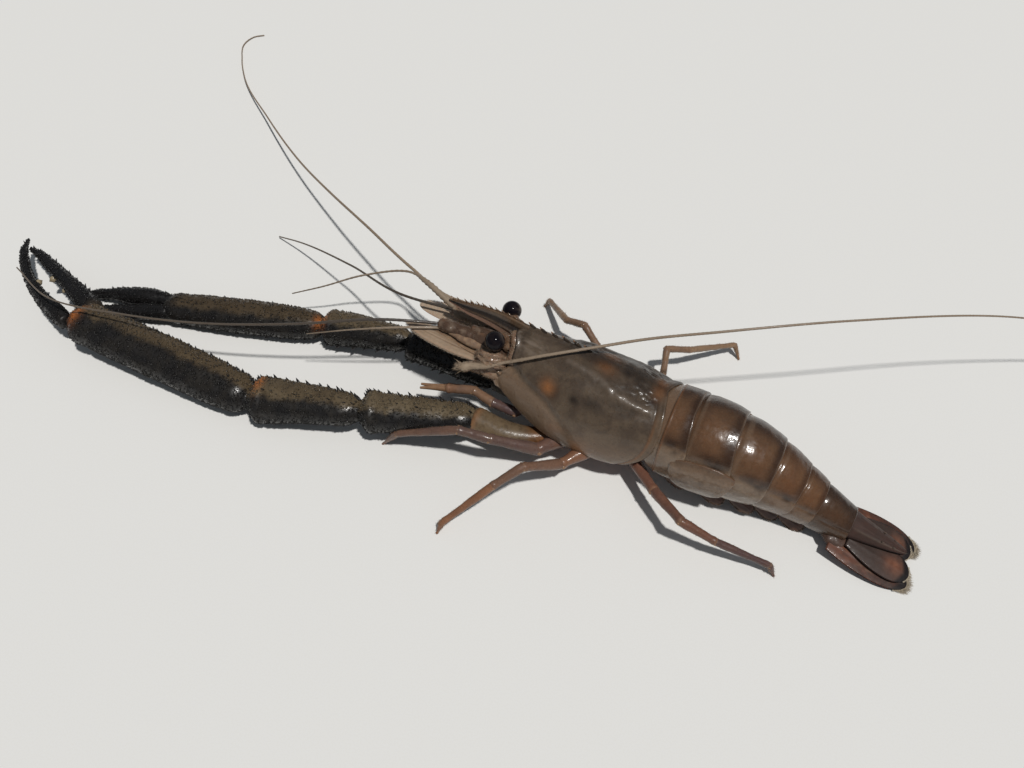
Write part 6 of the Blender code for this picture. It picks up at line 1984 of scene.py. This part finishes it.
def make_right_claw():
    hip = body(-9.0, 4.6, -11.4)
    knee = np.array((-36.8, -5.9, 10.2))
    wrist = np.array((-70.0, -5.6, 9.4))
    palm_start = np.array((-101.2, -12.0, 6.2))
    palm_end = np.array((-157.0, -30.3, 4.6))

    piece = Piece()
    path = along_line(knee, wrist + (0.9, 0, 0), MERUS_PLACES, 0.2)
    wide = [3.2, 4.2, 4.9, 5.4, 5.8, 5.5, 4.0]
    high = [3.0, 3.9, 4.6, 5.0, 5.4, 5.1, 3.6]
    rows = [(-28, 12, 1.4), (20, 8, 1.1), (150, 10, 0.9)]
    paint = claw_paint(90, 150, [], seed=11, strength=0.4)
    add_article(piece, path, wide, high, rows, 12, paint, 2400)
    hip_path = [hip, (-17.0, -2.0, 4.6), (-26.0, -5.2, 7.0), knee + (0.8, 0, -0.3)]
    grid = rod(hip_path, [2.4, 2.8, 3.4, 4.0], [2.2, 2.4, 3.2, 3.6], 40, count=60)
    mottle = cloud(grid, 3.0, 520)
    piece.skin(grid, tone_stack(0.5 * mottle, 0 * mottle, 0 * mottle, 0.2 * mottle))
    piece.make("claw_right_merus", CLAW_LOOK, "claw")

    piece = Piece()
    path = along_line(wrist + (-0.9, -0.1, 0), palm_start + (0.9, 0.3, 0), CARPUS_PLACES, 0.4)
    wide = [2.8, 3.8, 4.7, 5.5, 6.1, 5.8, 4.2]
    high = [2.6, 3.6, 4.4, 5.1, 5.6, 5.3, 3.8]
    rows = [(-28, 12, 1.3), (20, 7, 1.0), (150, 11, 0.9)]
    paint = claw_paint(70, 190, [(0.98, 75, 0.04, 30)], seed=12, strength=0.9, grey=0.14)
    add_article(piece, path, wide, high, rows, 13, paint, 2400)
    piece.make("claw_right_carpus", CLAW_LOOK, "claw")

    piece = Piece()
    path = along_line(palm_start + (-0.9, -0.3, 0), palm_end, PALM_PLACES)
    wide = [3.0, 4.3, 5.4, 6.2, 6.3, 5.7, 4.8, 3.2]
    high = [2.8, 4.0, 4.9, 5.3, 5.2, 4.8, 4.2, 2.8]
    rows = [(-28, 18, 1.1), (30, 9, 0.8), (150, 13, 0.8)]
    paint = claw_paint(66, 210, [(0.01, 75, 0.025, 40)], 0.95, seed=13, strength=0.75)
    add_article(piece, path, wide, high, rows, 14, paint, 4200, count=170)
    fixed = [
        (-155.0, -32.6, 4.8),
        (-161.5, -34.8, 4.3),
        (-168.4, -37.6, 3.6),
        (-175.4, -40.4, 2.8),
        (-182.0, -42.8, 2.1),
        (-187.6, -44.2, 1.5),
    ]
    finger_wide = [2.8, 3.1, 2.9, 2.5, 1.8, 0.6]
    finger_high = [3.0, 2.7, 2.3, 1.8, 1.3, 0.6]
    paint = claw_paint(0, 1, [], 0.0, seed=14)
    add_article(piece, fixed, finger_wide, finger_high, [(-30, 8, 0.8)], 15, paint, 900, 36, 60)
    piece.make("claw_right_palm", CLAW_LOOK, "claw")

    piece = Piece()
    moving = [
        (-158.4, -27.4, 4.8),
        (-166.4, -29.9, 4.6),
        (-173.6, -32.3, 4.1),
        (-180.6, -34.7, 3.4),
        (-187.0, -37.6, 2.6),
        (-192.4, -40.8, 1.7),
    ]
    wide = [2.2, 3.2, 2.7, 1.8, 1.3, 0.5]
    high = [2.2, 3.2, 2.9, 2.3, 1.7, 0.5]
    paint = claw_paint(0, 1, [], 0.0, seed=15)
    add_article(piece, moving, wide, high, [(150, 10, 0.8), (90, 5, 0.6)], 16, paint, 1000, 36, 60)
    piece.make("claw_right_dactyl", CLAW_LOOK, "claw")


# Floor, light and camera


# The photo's camera, in millimetres from the drawing's origin
CAMERA_PLACE = (44.64542, -147.65769, 240.0)
CAMERA_AIM = (-0.26927783, 0.50643793, -0.81915204)
FOCAL_PIXELS = 858.0
PICTURE_PIXELS = 1024.0
SENSOR = 36.0
TO_SUN = (0.356, -0.129, 1.0)
SUN_STRENGTH = 2.7
SUN_SPREAD = 3.0
SKY_STRENGTH = 0.16
FLOOR_HALF = 4.0


def make_stage():
    look = Look("floor_look")
    grain = look.span(look.noise(0.5, 2.0), 0.3, 0.7)
    tone = look.mix(grain, (0.775, 0.77, 0.75), (0.785, 0.785, 0.77))
    look.finish(tone, 0.9, gleam=0.2)
    mesh = bpy.data.meshes.new("floor")
    corners = [(x * FLOOR_HALF, y * FLOOR_HALF, 0) for x, y in ((-1, -1), (1, -1), (1, 1), (-1, 1))]
    mesh.from_pydata(corners, [], [(0, 1, 2, 3)])
    floor = bpy.data.objects.new("floor", mesh)
    mesh.materials.append(look.material)
    bpy.context.scene.collection.objects.link(floor)

    camera = bpy.data.cameras.new("camera")
    camera.lens = FOCAL_PIXELS / PICTURE_PIXELS * SENSOR
    camera.sensor_width = SENSOR
    camera.clip_start = 0.01
    camera.clip_end = 20.0
    viewer = bpy.data.objects.new("camera", camera)
    viewer.location = Vector((np.array(CAMERA_PLACE) + SHIFT) * MM)
    viewer.rotation_euler = Vector(CAMERA_AIM).to_track_quat("-Z", "Y").to_euler()
    bpy.context.scene.collection.objects.link(viewer)
    bpy.context.scene.camera = viewer

    light = bpy.data.lights.new("key", "SUN")
    light.energy = SUN_STRENGTH
    light.angle = math.radians(SUN_SPREAD)
    light.color = (1.0, 0.975, 0.94)
    lamp = bpy.data.objects.new("key", light)
    lamp.rotation_euler = Vector(TO_SUN).to_track_quat("Z", "Y").to_euler()
    bpy.context.scene.collection.objects.link(lamp)

    world = bpy.data.worlds.new("studio")
    world.use_nodes = True
    back = world.node_tree.nodes["Background"]
    back.inputs["Color"].default_value = (0.82, 0.9, 1.0, 1.0)
    back.inputs["Strength"].default_value = SKY_STRENGTH
    bpy.context.scene.world = world
    bpy.context.scene.view_settings.view_transform = "Standard"


make_stage()
make_carapace()
make_thorax()
make_rostrum()
for segment in range(1, 7):
    make_segment(segment)
make_telson()
make_uropods()
make_pleopods()
make_eyes()
make_antennules()
make_feelers()
make_antenna_bases()
make_walking_legs()
make_small_front_limbs()
make_left_claw()
make_right_claw()
